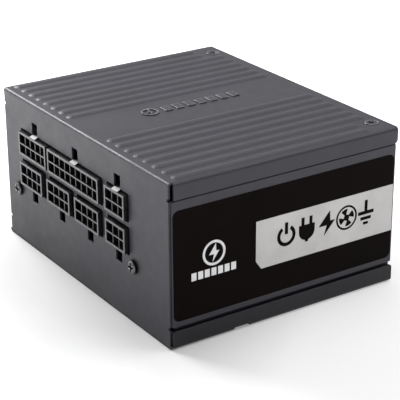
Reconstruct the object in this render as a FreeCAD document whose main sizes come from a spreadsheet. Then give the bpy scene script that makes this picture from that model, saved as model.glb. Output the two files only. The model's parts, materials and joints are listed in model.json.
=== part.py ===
import FreeCAD, Part
import math
import os

import Sketcher
from FreeCAD import Placement, Rotation, Vector

# A small-form-factor computer power supply with a modular socket panel.
# Millimetres. +Z is up: the ribbed cover is on top and the fan looks down.
# -Y faces the modular sockets, +Y faces the mains inlet, and the origin is
# the centre of the underside.

SIZES = {
    # case and sheet metal
    "case_width": 125.0,
    "case_depth": 100.0,
    "plate_height": 63.0,
    "gauge": 0.8,
    "fit_gap": 0.1,
    "side_bend": 1.4,
    "panel_bend": 1.0,
    "inner_bend": 0.3,
    "top_flange": 6.3,
    "base_flange": 7.0,
    "wall_inset": 0.4,
    "low_step": 1.2,
    "shoulder_low": 8.4,
    "shoulder_high": 56.0,
    "panel_foot": 0.95,
    "corner_gap": 1.1,
    "corner_nick": 0.9,
    "flange_setback": 0.8,
    "flange_start": 1.65,
    "return_width": 7.4,
    "frame_bend": 0.8,
    # stiffening beads in the top plate
    "bead_count": 8,
    "bead_rise": 0.5,
    "bead_width": 4.6,
    "bead_pitch": 6.17,
    "bead_first": 15.25,
    "bead_front": 46.6,
    "bead_rear": 46.4,
    "bead_short_rear": 39.0,
    # cover screws
    "cover_screw_across": 53.0,
    "cover_screw_back": 45.0,
    "foot_screw_across": 57.4,
    "foot_screw_front": 44.4,
    "cover_head": 2.75,
    "cover_shank": 1.5,
    "sink_gap": 0.45,
    "recess_reach": 1.5,
    "recess_width": 1.0,
    "panel_recess": 1.9,
    # modular sockets
    "socket_proud": 1.7,
    "socket_height": 9.6,
    "cell_pitch": 4.2,
    "cell_side": 3.7,
    "cell_arch": 1.5,
    "web_setback": 0.5,
    "socket_end": 0.6,
    "cell_depth": 6.5,
    "terminal_side": 1.1,
    "terminal_tip": 4.0,
    "high_row": 44.55,
    "low_row": 31.65,
    "latch_width": 4.4,
    "latch_rise": 1.1,
    "cutout_gap": 0.75,
    "slot_high": 55.15,
    "slot_low": 21.1,
    "panel_screw_height": 23.0,
    "panel_screw_left": 51.4,
    "panel_screw_right": 37.8,
    "panel_head": 2.7,
    # rear panel
    "case_hole_across": 113.0,
    "case_hole_up": 51.5,
    "case_hole_low": 6.0,
    "case_hole": 1.4,
    "inlet_across": -37.0,
    "inlet_up": 40.0,
    "inlet_width": 27.2,
    "inlet_height": 20.0,
    "inlet_depth": 24.0,
    "inlet_mouth_width": 24.2,
    "inlet_mouth_height": 16.2,
    "inlet_mouth_depth": 17.0,
    "inlet_mouth_cut": 4.2,
    "inlet_pin_pitch": 7.0,
    "inlet_pin_tail": 3.4,
    "switch_across": -11.0,
    "switch_width": 13.0,
    "switch_height": 19.4,
    "switch_depth": 14.0,
    "rocker_radius": 8.5,
    "rocker_width": 10.2,
    "rocker_pivot_depth": 3.5,
    "rocker_rest_tilt": 10.0,
    "pivot_radius": 1.2,
    "hex_flats": 5.0,
    "hex_web": 1.2,
    # fan
    "tray_half": 47.6,
    "tray_depth": 2.4,
    "tray_corner": 7.0,
    "fan_side": 92.0,
    "fan_thick": 15.0,
    "fan_bore": 44.5,
    "fan_hole_half": 41.25,
    "hub_radius": 15.5,
    "blade_reach": 43.6,
    "blade_count": 11,
    "hub_face": 4.6,
    "hub_tall": 10.8,
    "hub_wall": 1.3,
    "hub_skin": 1.4,
    "magnet_thick": 1.4,
    "shaft_radius": 1.5,
    "shaft_play": 0.04,
    "shaft_low": 5.2,
    "strut_thick": 1.8,
    "strut_width": 3.2,
    "strut_root": 13.0,
    "strut_turn": 20.0,
    "hub_plate": 14.6,
    "bearing_radius": 2.8,
    "bearing_seat": 8.1,
    "tube_radius": 4.0,
    "tube_low": 7.6,
    "core_low": 8.7,
    "core_tall": 5.4,
    "core_ring": 6.0,
    "arm_reach": 11.6,
    "arm_width": 2.8,
    # fan guard
    "wire_radius": 0.7,
    "guard_rings": 6,
    "guard_first": 13.0,
    "guard_pitch": 6.0,
    "guard_disc": 8.0,
    "guard_eye": 4.2,
    # labels
    "label_thick": 0.15,
    "label_low": 10.5,
    "label_high": 52.6,
    "label_front": 48.8,
    "label_rear": 49.0,
    "label_corner": 2.5,
    # boards
    "board_thick": 1.6,
    "board_face": 56.4,
    "board_half_width": 58.0,
    "board_front": 45.0,
    "board_rear": 46.5,
    "modular_face": 43.2,
    "film_level": 59.6,
    "film_thick": 0.4,
    "film_half_width": 57.0,
    "film_rear": 39.0,
}

doc = FreeCAD.newDocument("power_supply")
sheet = doc.addObject("Spreadsheet::Sheet", "dims")
nodes = []


class Size:
    """A length that carries both its value and the expression behind it."""

    def __init__(self, value, text=None):
        self.value = float(value)
        self.text = text or "(%.6g)" % self.value

    def __float__(self):
        return self.value

    def __add__(self, other):
        other = as_size(other)
        return Size(self.value + other.value, f"({self.text} + {other.text})")

    def __sub__(self, other):
        other = as_size(other)
        return Size(self.value - other.value, f"({self.text} - {other.text})")

    def __mul__(self, other):
        other = as_size(other)
        return Size(self.value * other.value, f"{self.text} * {other.text}")

    def __truediv__(self, other):
        other = as_size(other)
        return Size(self.value / other.value, f"({self.text}) / {other.text}")

    def __neg__(self):
        return Size(-self.value, f"(-1 * {self.text})")

    def __radd__(self, other):
        return as_size(other) + self

    def __rsub__(self, other):
        return as_size(other) - self

    def __rmul__(self, other):
        return as_size(other) * self


def as_size(number):
    return number if isinstance(number, Size) else Size(number)


class Dims:
    """The sheet's sizes by name."""


def fill_sheet():
    for row, (alias, number) in enumerate(SIZES.items(), start=1):
        sheet.set(f"A{row}", alias)
        sheet.set(f"B{row}", str(number))
        sheet.setAlias(f"B{row}", alias)
    doc.recompute()
    for alias in SIZES:
        setattr(Dims, alias, Size(sheet.get(alias), "dims." + alias))


fill_sheet()
d = Dims

HALF_WIDTH = d.case_width / 2
HALF_DEPTH = d.case_depth / 2
FRONT = -HALF_DEPTH
TOP = d.plate_height
WALL = HALF_WIDTH - d.wall_inset
TUCKED_WALL = HALF_WIDTH - d.gauge - d.fit_gap
LOW_WALL = WALL - d.low_step
BOARD = d.board_face
FAN_BASE = d.tray_depth + d.gauge
FAN_TOP = FAN_BASE + d.fan_thick
MODULAR = -d.modular_face

TURNS = {
    "X": Rotation(Vector(0, 1, 0), 90),
    "Y": Rotation(Vector(1, 0, 0), -90),
    "Z": Rotation(),
    "-Z": Rotation(Vector(1, 0, 0), 180),
    "-Y": Rotation(Vector(1, 0, 0), 90),
}


# ---------------------------------------------------------------- primitives

def bind(thing, path, size):
    thing.setExpression(path, as_size(size).text)


def place(thing, at, turn=None):
    if turn is not None:
        thing.Placement = Placement(Vector(), turn)
    for axis, size in zip("xyz", at):
        bind(thing, f"Placement.Base.{axis}", size)


def node(thing, label):
    """Name a finished sub-part; its label names its file."""
    thing.Label = label
    nodes.append(thing)
    return thing


def box(name, low, high):
    block = doc.addObject("Part::Box", name)
    for prop, start, end in zip(("Length", "Width", "Height"), low, high):
        bind(block, prop, as_size(end) - start)
    place(block, low)
    return block


def rod(name, radius, length, at, along="Z"):
    bar = doc.addObject("Part::Cylinder", name)
    bind(bar, "Radius", radius)
    bind(bar, "Height", length)
    place(bar, at, TURNS[along])
    return bar


def cone(name, start_radius, end_radius, length, at, along="Z"):
    taper = doc.addObject("Part::Cone", name)
    bind(taper, "Radius1", start_radius)
    bind(taper, "Radius2", end_radius)
    bind(taper, "Height", length)
    place(taper, at, TURNS[along])
    return taper


def ring(name, radius, wire, at):
    hoop = doc.addObject("Part::Torus", name)
    bind(hoop, "Radius1", radius)
    bind(hoop, "Radius2", wire)
    place(hoop, at)
    return hoop


def ball(name, radius, at):
    sphere = doc.addObject("Part::Sphere", name)
    bind(sphere, "Radius", radius)
    place(sphere, at)
    return sphere


def join(name, pieces):
    merged = doc.addObject("Part::MultiFuse", name)
    merged.Shapes = list(pieces)
    return merged


def group(name, pieces):
    """Separate solids that share one node."""
    bundle = doc.addObject("Part::Compound", name)
    bundle.Links = list(pieces)
    return bundle


def carve(name, base, tools):
    cut = doc.addObject("Part::Cut", name)
    cut.Base = base
    cut.Tool = tools[0] if len(tools) == 1 else join(name + "_tool", tools)
    return cut


def overlap(name, first, second):
    common = doc.addObject("Part::Common", name)
    common.Base = first
    common.Tool = second
    return common


def tube(name, outer, inner, length, at, along="Z"):
    solid = rod(name + "_outer", outer, length, at, along)
    return carve(name, solid, [rod(name + "_inner", inner, length, at, along)])


def soften(name, base, radius, along, above=-math.inf):
    """Round the edges of a block that run along one axis, above a level."""
    doc.recompute()
    rounded = doc.addObject("Part::Fillet", name)
    rounded.Base = base
    picked = []
    for number, edge in enumerate(base.Shape.Edges, start=1):
        run = edge.lastVertex().Point - edge.firstVertex().Point
        runs_along = edge.Length > 0 and abs(abs(run.normalize().dot(along)) - 1) < 1e-6
        if runs_along and edge.BoundBox.ZMin > above:
            picked.append((number, float(radius), float(radius)))
    rounded.Edges = picked
    return rounded


# ------------------------------------------------------- bodies and sketches

def new_body(name):
    return doc.addObject("PartDesign::Body", name)


def origin_plane(body, role):
    return next(plane for plane in body.Origin.OriginFeatures if plane.Role == role)


def new_sketch(body, role, lift):
    sketch = body.newObject("Sketcher::SketchObject", body.Name + "_sketch")
    sketch.AttachmentSupport = (origin_plane(body, role), [""])
    sketch.MapMode = "FlatFace"
    bind(sketch, "AttachmentOffset.Base.z", lift)
    return sketch


def pin_value(sketch, kind, item, point, size):
    number = sketch.addConstraint(Sketcher.Constraint(kind, -1, 1, item, point, float(size)))
    bind(sketch, f"Constraints[{number}]", size)


def add_circle(sketch, x, y, radius):
    centre = Vector(float(x), float(y), 0)
    item = sketch.addGeometry(Part.Circle(centre, Vector(0, 0, 1), float(radius)), False)
    pin_value(sketch, "DistanceX", item, 3, x)
    pin_value(sketch, "DistanceY", item, 3, y)
    number = sketch.addConstraint(Sketcher.Constraint("Radius", item, float(radius)))
    bind(sketch, f"Constraints[{number}]", radius)


def add_polygon(sketch, corners):
    """A closed outline of straight lines, each corner held by its coordinates."""
    spots = [Vector(float(x), float(y), 0) for x, y in corners]
    lines = []
    for index, spot in enumerate(spots):
        after = spots[(index + 1) % len(spots)]
        lines.append(sketch.addGeometry(Part.LineSegment(spot, after), False))
    for index, line in enumerate(lines):
        following = lines[(index + 1) % len(lines)]
        sketch.addConstraint(Sketcher.Constraint("Coincident", line, 2, following, 1))
        pin_value(sketch, "DistanceX", line, 1, corners[index][0])
        pin_value(sketch, "DistanceY", line, 1, corners[index][1])


def add_outline(sketch, corners):
    """A closed outline of level and upright lines, with a radius at each corner."""
    spots = [Vector(float(x), float(y), 0) for x, y, _ in corners]
    radii = [float(radius) for _, _, radius in corners]
    count = len(corners)
    ways = [(spots[(i + 1) % count] - spots[i]).normalize() for i in range(count)]
    lines = []
    for i in range(count):
        start = spots[i] + ways[i] * radii[i]
        end = spots[(i + 1) % count] - ways[i] * radii[(i + 1) % count]
        lines.append(sketch.addGeometry(Part.LineSegment(start, end), False))
    for i in range(count):
        level = abs(ways[i].x) > 0.5
        sketch.addConstraint(Sketcher.Constraint("Horizontal" if level else "Vertical", lines[i]))
        pin_value(sketch, "DistanceY" if level else "DistanceX", lines[i], 1, corners[i][1 if level else 0])
    for i in range(count):
        join_lines(sketch, lines[i - 1], lines[i], spots[i], ways[i - 1], ways[i], corners[i][2])


def join_lines(sketch, before, after, corner, way_in, way_out, radius):
    reach = float(radius)
    if reach == 0:
        sketch.addConstraint(Sketcher.Constraint("Coincident", before, 2, after, 1))
        return
    centre = corner - way_in * reach + way_out * reach
    left_turn = way_in.cross(way_out).z > 0
    first = corner - way_in * reach if left_turn else corner + way_out * reach
    start = math.atan2(first.y - centre.y, first.x - centre.x)
    circle = Part.Circle(centre, Vector(0, 0, 1), reach)
    arc = sketch.addGeometry(Part.ArcOfCircle(circle, start, start + math.pi / 2), False)
    in_end, out_end = (1, 2) if left_turn else (2, 1)
    sketch.addConstraint(Sketcher.Constraint("Tangent", before, 2, arc, in_end))
    sketch.addConstraint(Sketcher.Constraint("Tangent", after, 1, arc, out_end))
    number = sketch.addConstraint(Sketcher.Constraint("Radius", arc, reach))
    bind(sketch, f"Constraints[{number}]", radius)


def draw(sketch, loops):
    for loop in loops:
        if isinstance(loop, tuple):
            add_circle(sketch, *loop)
        elif len(loop[0]) == 2:
            add_polygon(sketch, loop)
        else:
            add_outline(sketch, loop)


def rectangle(x0, x1, y0, y1, radius=0):
    return [(x0, y0, radius), (x1, y0, radius), (x1, y1, radius), (x0, y1, radius)]


def pad(body, role, loops, low, high):
    """Add material between two levels along the plane's own axis."""
    flipped = role == "XZ_Plane"
    sketch = new_sketch(body, role, -as_size(high) if flipped else low)
    draw(sketch, loops)
    feature = body.newObject("PartDesign::Pad", body.Name + "_pad")
    feature.Profile = sketch
    bind(feature, "Length", as_size(high) - low)
    doc.recompute()
    return feature


def pocket(body, role, loops, low, high):
    """Remove material between two levels along the plane's own axis."""
    flipped = role == "XZ_Plane"
    sketch = new_sketch(body, role, -as_size(low) if flipped else high)
    draw(sketch, loops)
    before = body.Tip.Shape.Volume
    feature = body.newObject("PartDesign::Pocket", body.Name + "_pocket")
    feature.Profile = sketch
    bind(feature, "Length", as_size(high) - low)
    doc.recompute()
    if feature.Shape.Volume > before - 1e-3:
        raise ValueError(f"{feature.Name} removes nothing")
    return feature


def round_edges(body, radius, picked):
    """Fillet the edges of the body that a test picks."""
    base = body.Tip
    names = [f"Edge{n}" for n, edge in enumerate(base.Shape.Edges, start=1) if picked(edge)]
    feature = body.newObject("PartDesign::Fillet", body.Name + "_fillet")
    feature.Base = (base, names)
    bind(feature, "Radius", radius)
    doc.recompute()


def lies_at(edge, **spots):
    """Whether every point of an edge has the given coordinates, sign ignored."""
    span = edge.BoundBox
    for axis, spot in spots.items():
        low = getattr(span, axis.upper() + "Min")
        high = getattr(span, axis.upper() + "Max")
        if high - low > 1e-3 or abs(abs(low) - float(spot)) > 1e-3:
            return False
    return True


# ---------------------------------------------------------------- top cover

SOCKETS = [
    # name, centre across, row, pins in a row, rows of cells shaped round
    ("socket_10_pin", -35.9, "high", 5, ()),
    ("socket_18_pin", -3.6, "high", 9, ()),
    ("socket_6_pin_top", 27.4, "high", 3, ()),
    ("socket_8_pin_left", -38.0, "low", 4, ((1, 1), (1, 2), (0, 0), (0, 3))),
    ("socket_8_pin_middle", -15.6, "low", 4, ((1, 1), (1, 2), (0, 0), (0, 3))),
    ("socket_8_pin_right", 6.4, "low", 4, ((1, 1), (1, 2), (0, 0), (0, 3))),
    ("socket_6_pin_bottom", 27.4, "low", 3, ((1, 1), (1, 2), (0, 0))),
]


def socket_half(pins):
    return d.cell_pitch * pins / 2 + d.socket_end


def row_level(row):
    return d.high_row if row == "high" else d.low_row


def bead(index, side):
    """One pressed bead: a long low dome with round ends, proud of the plate."""
    across = (d.bead_first + d.bead_pitch * index) * side
    rear = d.bead_rear if index < 6 else d.bead_short_rear
    radius = d.bead_width * d.bead_width / 8 / d.bead_rise + d.bead_rise / 2
    level = TOP + d.bead_rise - radius
    front_end = -d.bead_front + d.bead_width / 2
    rear_end = rear - d.bead_width / 2
    name = f"bead_{index}_{'right' if side > 0 else 'left'}"
    capsule = join(name + "_capsule", [
        rod(name + "_run", radius, rear_end - front_end, (across, front_end, level), "Y"),
        ball(name + "_front", radius, (across, front_end, level)),
        ball(name + "_rear", radius, (across, rear_end, level)),
    ])
    half = d.bead_width / 2 + 0.3
    slab = box(
        name + "_slab",
        (across - half, -d.bead_front - 0.3, TOP - d.gauge / 4),
        (across + half, rear + 0.3, TOP + 1),
    )
    return overlap(name, slab, capsule)


def cutout(across, row, pins):
    half = socket_half(pins) + d.cutout_gap
    tall = d.socket_height / 2 + d.cutout_gap
    level = row_level(row)
    return rectangle(across - half, across + half, level - tall, level + tall, 0.5)


def shared_cutout():
    """Opens the two widest sockets' holes into one another."""
    first, second = SOCKETS[:2]
    start = first[1] + socket_half(first[3])
    end = second[1] - socket_half(second[3])
    tall = d.socket_height / 2 + d.cutout_gap
    return rectangle(start, end, d.high_row - tall, d.high_row + tall)


def latch_slot(across, row):
    half = d.latch_width / 2
    if row == "high":
        return rectangle(across - half, across + half, d.high_row, d.slot_high, 0.4)
    return rectangle(across - half, across + half, d.slot_low, d.low_row, 0.4)


def corner_nicks(panel_half):
    """Small bend reliefs in the panel's edges, level with the two side seams."""
    nicks = []
    for low in (d.base_flange + 0.2, TOP - d.top_flange - 0.6):
        for inside, outside in ((panel_half - d.corner_nick, panel_half + 0.1),
                                (-panel_half - 0.1, -panel_half + d.corner_nick)):
            nicks.append(rectangle(inside, outside, low, low + 1.2))
    return nicks


def cover_sheet():
    """The plate, its two side flanges and the socket panel bent down in front."""
    body = new_body("cover_sheet")
    inner = HALF_WIDTH - d.gauge
    lip = TOP - d.top_flange
    plate = [
        (-HALF_WIDTH, lip, 0), (-HALF_WIDTH, TOP, d.side_bend),
        (HALF_WIDTH, TOP, d.side_bend), (HALF_WIDTH, lip, 0),
        (inner, lip, 0), (inner, TOP - d.gauge, d.inner_bend),
        (-inner, TOP - d.gauge, d.inner_bend), (-inner, lip, 0),
    ]
    pad(body, "XZ_Plane", [plate], FRONT + d.flange_start, HALF_DEPTH)
    round_edges(body, 1.5, lambda edge: lies_at(edge, y=HALF_DEPTH, z=lip))
    back = FRONT + 10
    panel = [
        (FRONT, d.panel_foot, 0), (FRONT, TOP, d.panel_bend), (back, TOP, 0), (back, TOP - d.gauge, 0),
        (FRONT + d.gauge, TOP - d.gauge, d.inner_bend), (FRONT + d.gauge, d.panel_foot, 0),
    ]
    panel_half = HALF_WIDTH - d.corner_gap
    pad(body, "YZ_Plane", [panel], -panel_half, panel_half)
    behind = FRONT + d.gauge + 0.1
    pocket(body, "XZ_Plane", [cutout(x, row, pins) for _, x, row, pins, _ in SOCKETS], FRONT, behind)
    pocket(body, "XZ_Plane", [latch_slot(x, row) for _, x, row, _, _ in SOCKETS], FRONT, behind)
    pocket(body, "XZ_Plane", [shared_cutout()], FRONT, behind)
    pocket(body, "XZ_Plane", corner_nicks(panel_half), FRONT, behind)
    holes = [
        (-d.panel_screw_left, d.panel_screw_height, 1.6),
        (d.panel_screw_right, d.panel_screw_height, 1.6),
    ]
    pocket(body, "XZ_Plane", holes, FRONT, behind)
    return body


def top_cover():
    beads = [bead(index, side) for side in (-1, 1) for index in range(int(float(d.bead_count)))]
    sinks = [
        cone(f"cover_sink_{side}", d.cover_head + d.sink_gap, d.cover_shank + 0.2, d.gauge,
             (d.cover_screw_across * side, d.cover_screw_back, TOP), "-Z")
        for side in (-1, 1)
    ]
    node(carve("top_cover", join("cover_with_beads", [cover_sheet()] + beads), sinks), "top_cover")


# --------------------------------------------------------------- main frame

def frame_band(body, half, low, high):
    """One level of the frame: rear panel, side walls and narrow front returns."""
    near = FRONT + d.gauge + d.fit_gap
    wall = half - d.gauge
    tip = half - d.return_width
    inner = d.inner_bend
    outer = d.frame_bend
    plan = [
        (-tip, near, 0), (-half, near, outer), (-half, HALF_DEPTH, outer), (half, HALF_DEPTH, outer),
        (half, near, outer), (tip, near, 0), (tip, near + d.gauge, 0), (wall, near + d.gauge, inner),
        (wall, HALF_DEPTH - d.gauge, inner), (-wall, HALF_DEPTH - d.gauge, inner),
        (-wall, near + d.gauge, inner), (-tip, near + d.gauge, 0),
    ]
    pad(body, "XY_Plane", [plan], low, high)


def wall_slopes(body):
    """The bend where each side wall steps in under the top cover's flange."""
    step = WALL - TUCKED_WALL
    low = d.shoulder_high
    inside = TUCKED_WALL - 0.2
    for side in (-1, 1):
        slope = [(inside, low), (WALL, low), (TUCKED_WALL, low + step), (inside, low + step)]
        corners = [(x * side, z) for x, z in slope]
        pad(body, "XZ_Plane", [corners[::side]], FRONT + 2.1, HALF_DEPTH - 1.2)


def side_ledges(body):
    """The folds where each side wall steps in above the bottom cover's flange."""
    inside = LOW_WALL - d.gauge
    for side in (-1, 1):
        ledge = [(inside, FRONT + 1.7), (WALL - 0.1, FRONT + 1.7), (WALL - 0.1, HALF_DEPTH - 1),
                 (inside, HALF_DEPTH - 1)]
        corners = [(x * side, y) for x, y in ledge]
        pad(body, "XY_Plane", [corners[::side]], d.shoulder_low, d.shoulder_low + d.gauge)


def corner_reliefs(body):
    """Opens the frame's front corners behind the nicks and folds of the covers."""
    near = FRONT + d.gauge
    far = near + 1.7
    for low, high in ((d.base_flange - 0.2, d.shoulder_low), (d.shoulder_high + 0.3, TOP)):
        for start, end in ((-WALL - 0.1, -WALL + 3.2), (WALL - 3.2, WALL + 0.1)):
            pocket(body, "XY_Plane", [rectangle(start, end, near, far)], low, high)


def frame_lugs(body):
    """Tabs folded in from the rear panel and the front returns, under the screws."""
    rear = HALF_DEPTH - d.gauge
    lug = 4.4
    for side in (-1, 1):
        across = d.cover_screw_across * side
        plan = [rectangle(across - lug, across + lug, rear - 8.4, rear + 0.1, 0.0)]
        pad(body, "XY_Plane", plan, TOP - d.gauge * 2 - d.fit_gap, TOP - d.gauge - d.fit_gap)
        pad(body, "XY_Plane", plan, d.gauge + d.fit_gap, d.gauge * 2 + d.fit_gap)
        foot = d.foot_screw_across * side
        near = FRONT + d.gauge * 2 + d.fit_gap - 0.1
        plan = [rectangle(foot - 2.9, foot + 2.9, near, near + 7.4, 0.0)]
        pad(body, "XY_Plane", plan, d.gauge + d.fit_gap, d.gauge * 2 + d.fit_gap)


def case_hole_spots():
    half = d.case_hole_across / 2
    return [(x, z) for x in (-half, half) for z in (d.case_hole_low, d.case_hole_low + d.case_hole_up)]


def hexagon(across, up):
    """Corners of a vent hole, one flat to each side."""
    reach = d.hex_flats / math.sqrt(3)
    corners = []
    for step in range(6):
        angle = math.radians(30 + 60 * step)
        corners.append((across + reach * math.cos(angle), up + reach * math.sin(angle)))
    return corners


def vent_grid(body, across, up, columns, rows):
    """A field of six-sided holes, every second row shifted by half a pitch."""
    pitch = d.hex_flats + d.hex_web
    rise = pitch * math.sqrt(3)
    for shift in (0, 1):
        start = [hexagon(across + pitch / 2 * shift, up + rise / 2 * shift)]
        hole = pocket(body, "XZ_Plane", start, HALF_DEPTH - d.gauge - 0.3, HALF_DEPTH + 0.1)
        pattern = body.newObject("PartDesign::LinearPattern", body.Name + "_vents")
        pattern.Originals = [hole]
        pattern.Direction = (hole.Profile[0], ["H_Axis"])
        pattern.Direction2 = (hole.Profile[0], ["V_Axis"])
        pattern.Occurrences = columns - shift
        pattern.Occurrences2 = rows
        bind(pattern, "Length", pitch * (columns - shift - 1))
        bind(pattern, "Length2", rise * (rows - 1))
        body.Tip = pattern
        doc.recompute()


def main_frame():
    body = new_body("main_frame")
    foot = d.gauge + d.fit_gap
    frame_band(body, LOW_WALL, foot, d.shoulder_low)
    frame_band(body, WALL, d.shoulder_low, d.shoulder_high)
    frame_band(body, TUCKED_WALL, d.shoulder_high, TOP - foot)
    wall_slopes(body)
    side_ledges(body)
    corner_reliefs(body)
    frame_lugs(body)
    bosses = [(x, z, d.case_hole + 1.0) for x, z in case_hole_spots()]
    pad(body, "XZ_Plane", bosses, HALF_DEPTH - d.gauge - 1.4, HALF_DEPTH - d.gauge)
    holes = [(x, z, d.case_hole) for x, z in case_hole_spots()]
    pocket(body, "XZ_Plane", holes, HALF_DEPTH - d.gauge - 1.5, HALF_DEPTH + 0.1)
    inlet_half = d.inlet_width / 2 + 0.15
    inlet_tall = d.inlet_height / 2 + 0.15
    switch_half = d.switch_width / 2 + 0.1
    switch_tall = d.switch_height / 2 + 0.1
    gaps = [
        rectangle(d.inlet_across - inlet_half, d.inlet_across + inlet_half,
                  d.inlet_up - inlet_tall, d.inlet_up + inlet_tall, 1.0),
        rectangle(d.switch_across - switch_half, d.switch_across + switch_half,
                  d.inlet_up - switch_tall, d.inlet_up + switch_tall),
    ]
    pocket(body, "XZ_Plane", gaps, HALF_DEPTH - d.gauge - 0.2, HALF_DEPTH + 0.1)
    vent_grid(body, 4.2, 11.2, 8, 4)
    vent_grid(body, -52.0, 11.2, 9, 1)
    shank = d.cover_shank + 0.05
    rear = [(d.cover_screw_across * side, d.cover_screw_back, shank) for side in (-1, 1)]
    front = [(d.foot_screw_across * side, -d.foot_screw_front, shank) for side in (-1, 1)]
    pocket(body, "XY_Plane", rear, TOP - 3, TOP)
    pocket(body, "XY_Plane", rear + front, 0, 3)
    node(body, "main_frame")


# ------------------------------------------------------------- bottom cover

def bottom_cover():
    """The fan-side plate: a recessed tray for the guard, and two side flanges."""
    body = new_body("bottom_sheet")
    inner = HALF_WIDTH - d.gauge
    profile = [
        (-HALF_WIDTH, d.base_flange, 0), (-HALF_WIDTH, 0, d.side_bend), (HALF_WIDTH, 0, d.side_bend),
        (HALF_WIDTH, d.base_flange, 0), (inner, d.base_flange, 0), (inner, d.gauge, d.inner_bend),
        (-inner, d.gauge, d.inner_bend), (-inner, d.base_flange, 0),
    ]
    pad(body, "XZ_Plane", [profile], FRONT, HALF_DEPTH)
    round_edges(body, 1.2, lambda edge: lies_at(edge, y=HALF_DEPTH, z=d.base_flange))
    wide = d.tray_half
    corner = d.tray_corner
    outer = wide + d.gauge
    pad(body, "XY_Plane", [rectangle(-outer, outer, -outer, outer, corner + d.gauge)], 0, FAN_BASE)
    pocket(body, "XY_Plane", [rectangle(-wide, wide, -wide, wide, corner)], 0, d.tray_depth)
    half = d.fan_hole_half
    holes = [(x, y, 2.2) for x in (-half, half) for y in (-half, half)]
    opening = (Size(0), Size(0), d.fan_bore - 0.4)
    pocket(body, "XY_Plane", [opening] + holes, d.tray_depth - 0.1, FAN_BASE + 0.1)
    notch = [(-23.3, -0.5), (-23.3, 0.6), (-22.6, 1.8), (-16.6, 1.8), (-16.0, 0.6), (-16.0, -0.5)]
    pocket(body, "YZ_Plane", [notch], HALF_WIDTH - d.gauge - 1.2, HALF_WIDTH + 0.1)
    setback = [rectangle(FRONT - 0.1, FRONT + d.flange_setback, d.side_bend, d.base_flange + 0.1)]
    pocket(body, "YZ_Plane", setback, HALF_WIDTH - d.gauge - 0.2, HALF_WIDTH + 0.1)
    pocket(body, "YZ_Plane", setback, -HALF_WIDTH - 0.1, -HALF_WIDTH + d.gauge + 0.2)
    node(carve("bottom_cover", body, bottom_sinks()), "bottom_cover")


def bottom_screw_spots():
    rear = [(d.cover_screw_across * side, d.cover_screw_back) for side in (-1, 1)]
    front = [(d.foot_screw_across * side, -d.foot_screw_front) for side in (-1, 1)]
    return rear + front


def bottom_sinks():
    return [
        cone(f"bottom_sink_{n}", d.cover_head + d.sink_gap, d.cover_shank + 0.2, d.gauge, (x, y, 0))
        for n, (x, y) in enumerate(bottom_screw_spots())
    ]


# ------------------------------------------------------------------- screws

def sunk_screw(name, x, y, face, along):
    """A low countersunk screw with a cross recess."""
    drop = 1 if along == "Z" else -1
    head = cone(name + "_head", d.cover_head, d.cover_shank, d.gauge, (x, y, face), along)
    shank = rod(name + "_shank", d.cover_shank, 3.2, (x, y, face + d.gauge * drop), along)
    slots = cross_recess(name, x, y, face, drop)
    return carve(name, join(name + "_blank", [head, shank]), slots)


def cross_recess(name, x, y, face, drop):
    deep = face + 0.6 * drop
    low, high = (face - 0.1, deep) if drop > 0 else (deep, face + 0.1)
    reach = d.recess_reach
    half = d.recess_width / 2
    return [
        box(name + "_slot_a", (x - reach, y - half, low), (x + reach, y + half, high)),
        box(name + "_slot_b", (x - half, y - reach, low), (x + half, y + reach, high)),
    ]


def cover_screws():
    top = [
        sunk_screw(f"top_screw_{side}", d.cover_screw_across * side, d.cover_screw_back, TOP, "-Z")
        for side in (-1, 1)
    ]
    node(group("top_cover_screws", top), "top_cover_screws")
    bottom = [
        sunk_screw(f"bottom_screw_{n}", x, y, Size(0), "Z") for n, (x, y) in enumerate(bottom_screw_spots())
    ]
    node(group("bottom_cover_screws", bottom), "bottom_cover_screws")


def panel_screws():
    """Pan-head screws through the panel into the modular board's spacers."""
    screws = []
    spacers = []
    board_screws = []
    level = d.panel_screw_height
    for n, across in enumerate((-d.panel_screw_left, d.panel_screw_right)):
        name = f"panel_screw_{n}"
        cap_base = rod(name + "_rim", d.panel_head, 0.8, (across, FRONT, level), "-Y")
        dome = (across, FRONT - 0.8, level)
        cap_top = cone(name + "_dome", d.panel_head, d.panel_head - 0.9, 0.75, dome, "-Y")
        shank = rod(name + "_shank", 1.45, 3.6, (across, FRONT, level), "Y")
        front = FRONT - 1.6
        reach = d.panel_recess
        half = d.recess_width / 2
        slots = [
            box(name + "_slot_a", (across - reach, front, level - half),
                (across + reach, front + 1.2, level + half)),
            box(name + "_slot_b", (across - half, front, level - reach),
                (across + half, front + 1.2, level + reach)),
        ]
        screws.append(carve(name, join(name + "_blank", [cap_base, cap_top, shank]), slots))
        start = FRONT + d.gauge
        spacers.append(tube(f"spacer_{n}", 2.5, 1.5, MODULAR - start, (across, start, level), "Y"))
        back = MODULAR + d.board_thick
        name = f"modular_screw_{n}"
        head = rod(name + "_head", 2.6, 1.8, (across, back, level), "Y")
        stem = rod(name + "_stem", 1.45, d.board_thick + 2.4, (across, back, level), "-Y")
        board_screws.append(join(name, [head, stem]))
    node(group("panel_screws", screws), "panel_screws")
    return spacers, board_screws


# ------------------------------------------------------------------ sockets

def cell_spots(across, row, pins):
    """Centres of a socket's cells as (row, column, across, up)."""
    level = row_level(row)
    spots = []
    for line in (0, 1):
        for column in range(pins):
            x = across + d.cell_pitch * (column - (pins - 1) / 2)
            spots.append((line, column, x, level + d.cell_pitch * (line - 0.5)))
    return spots


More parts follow.
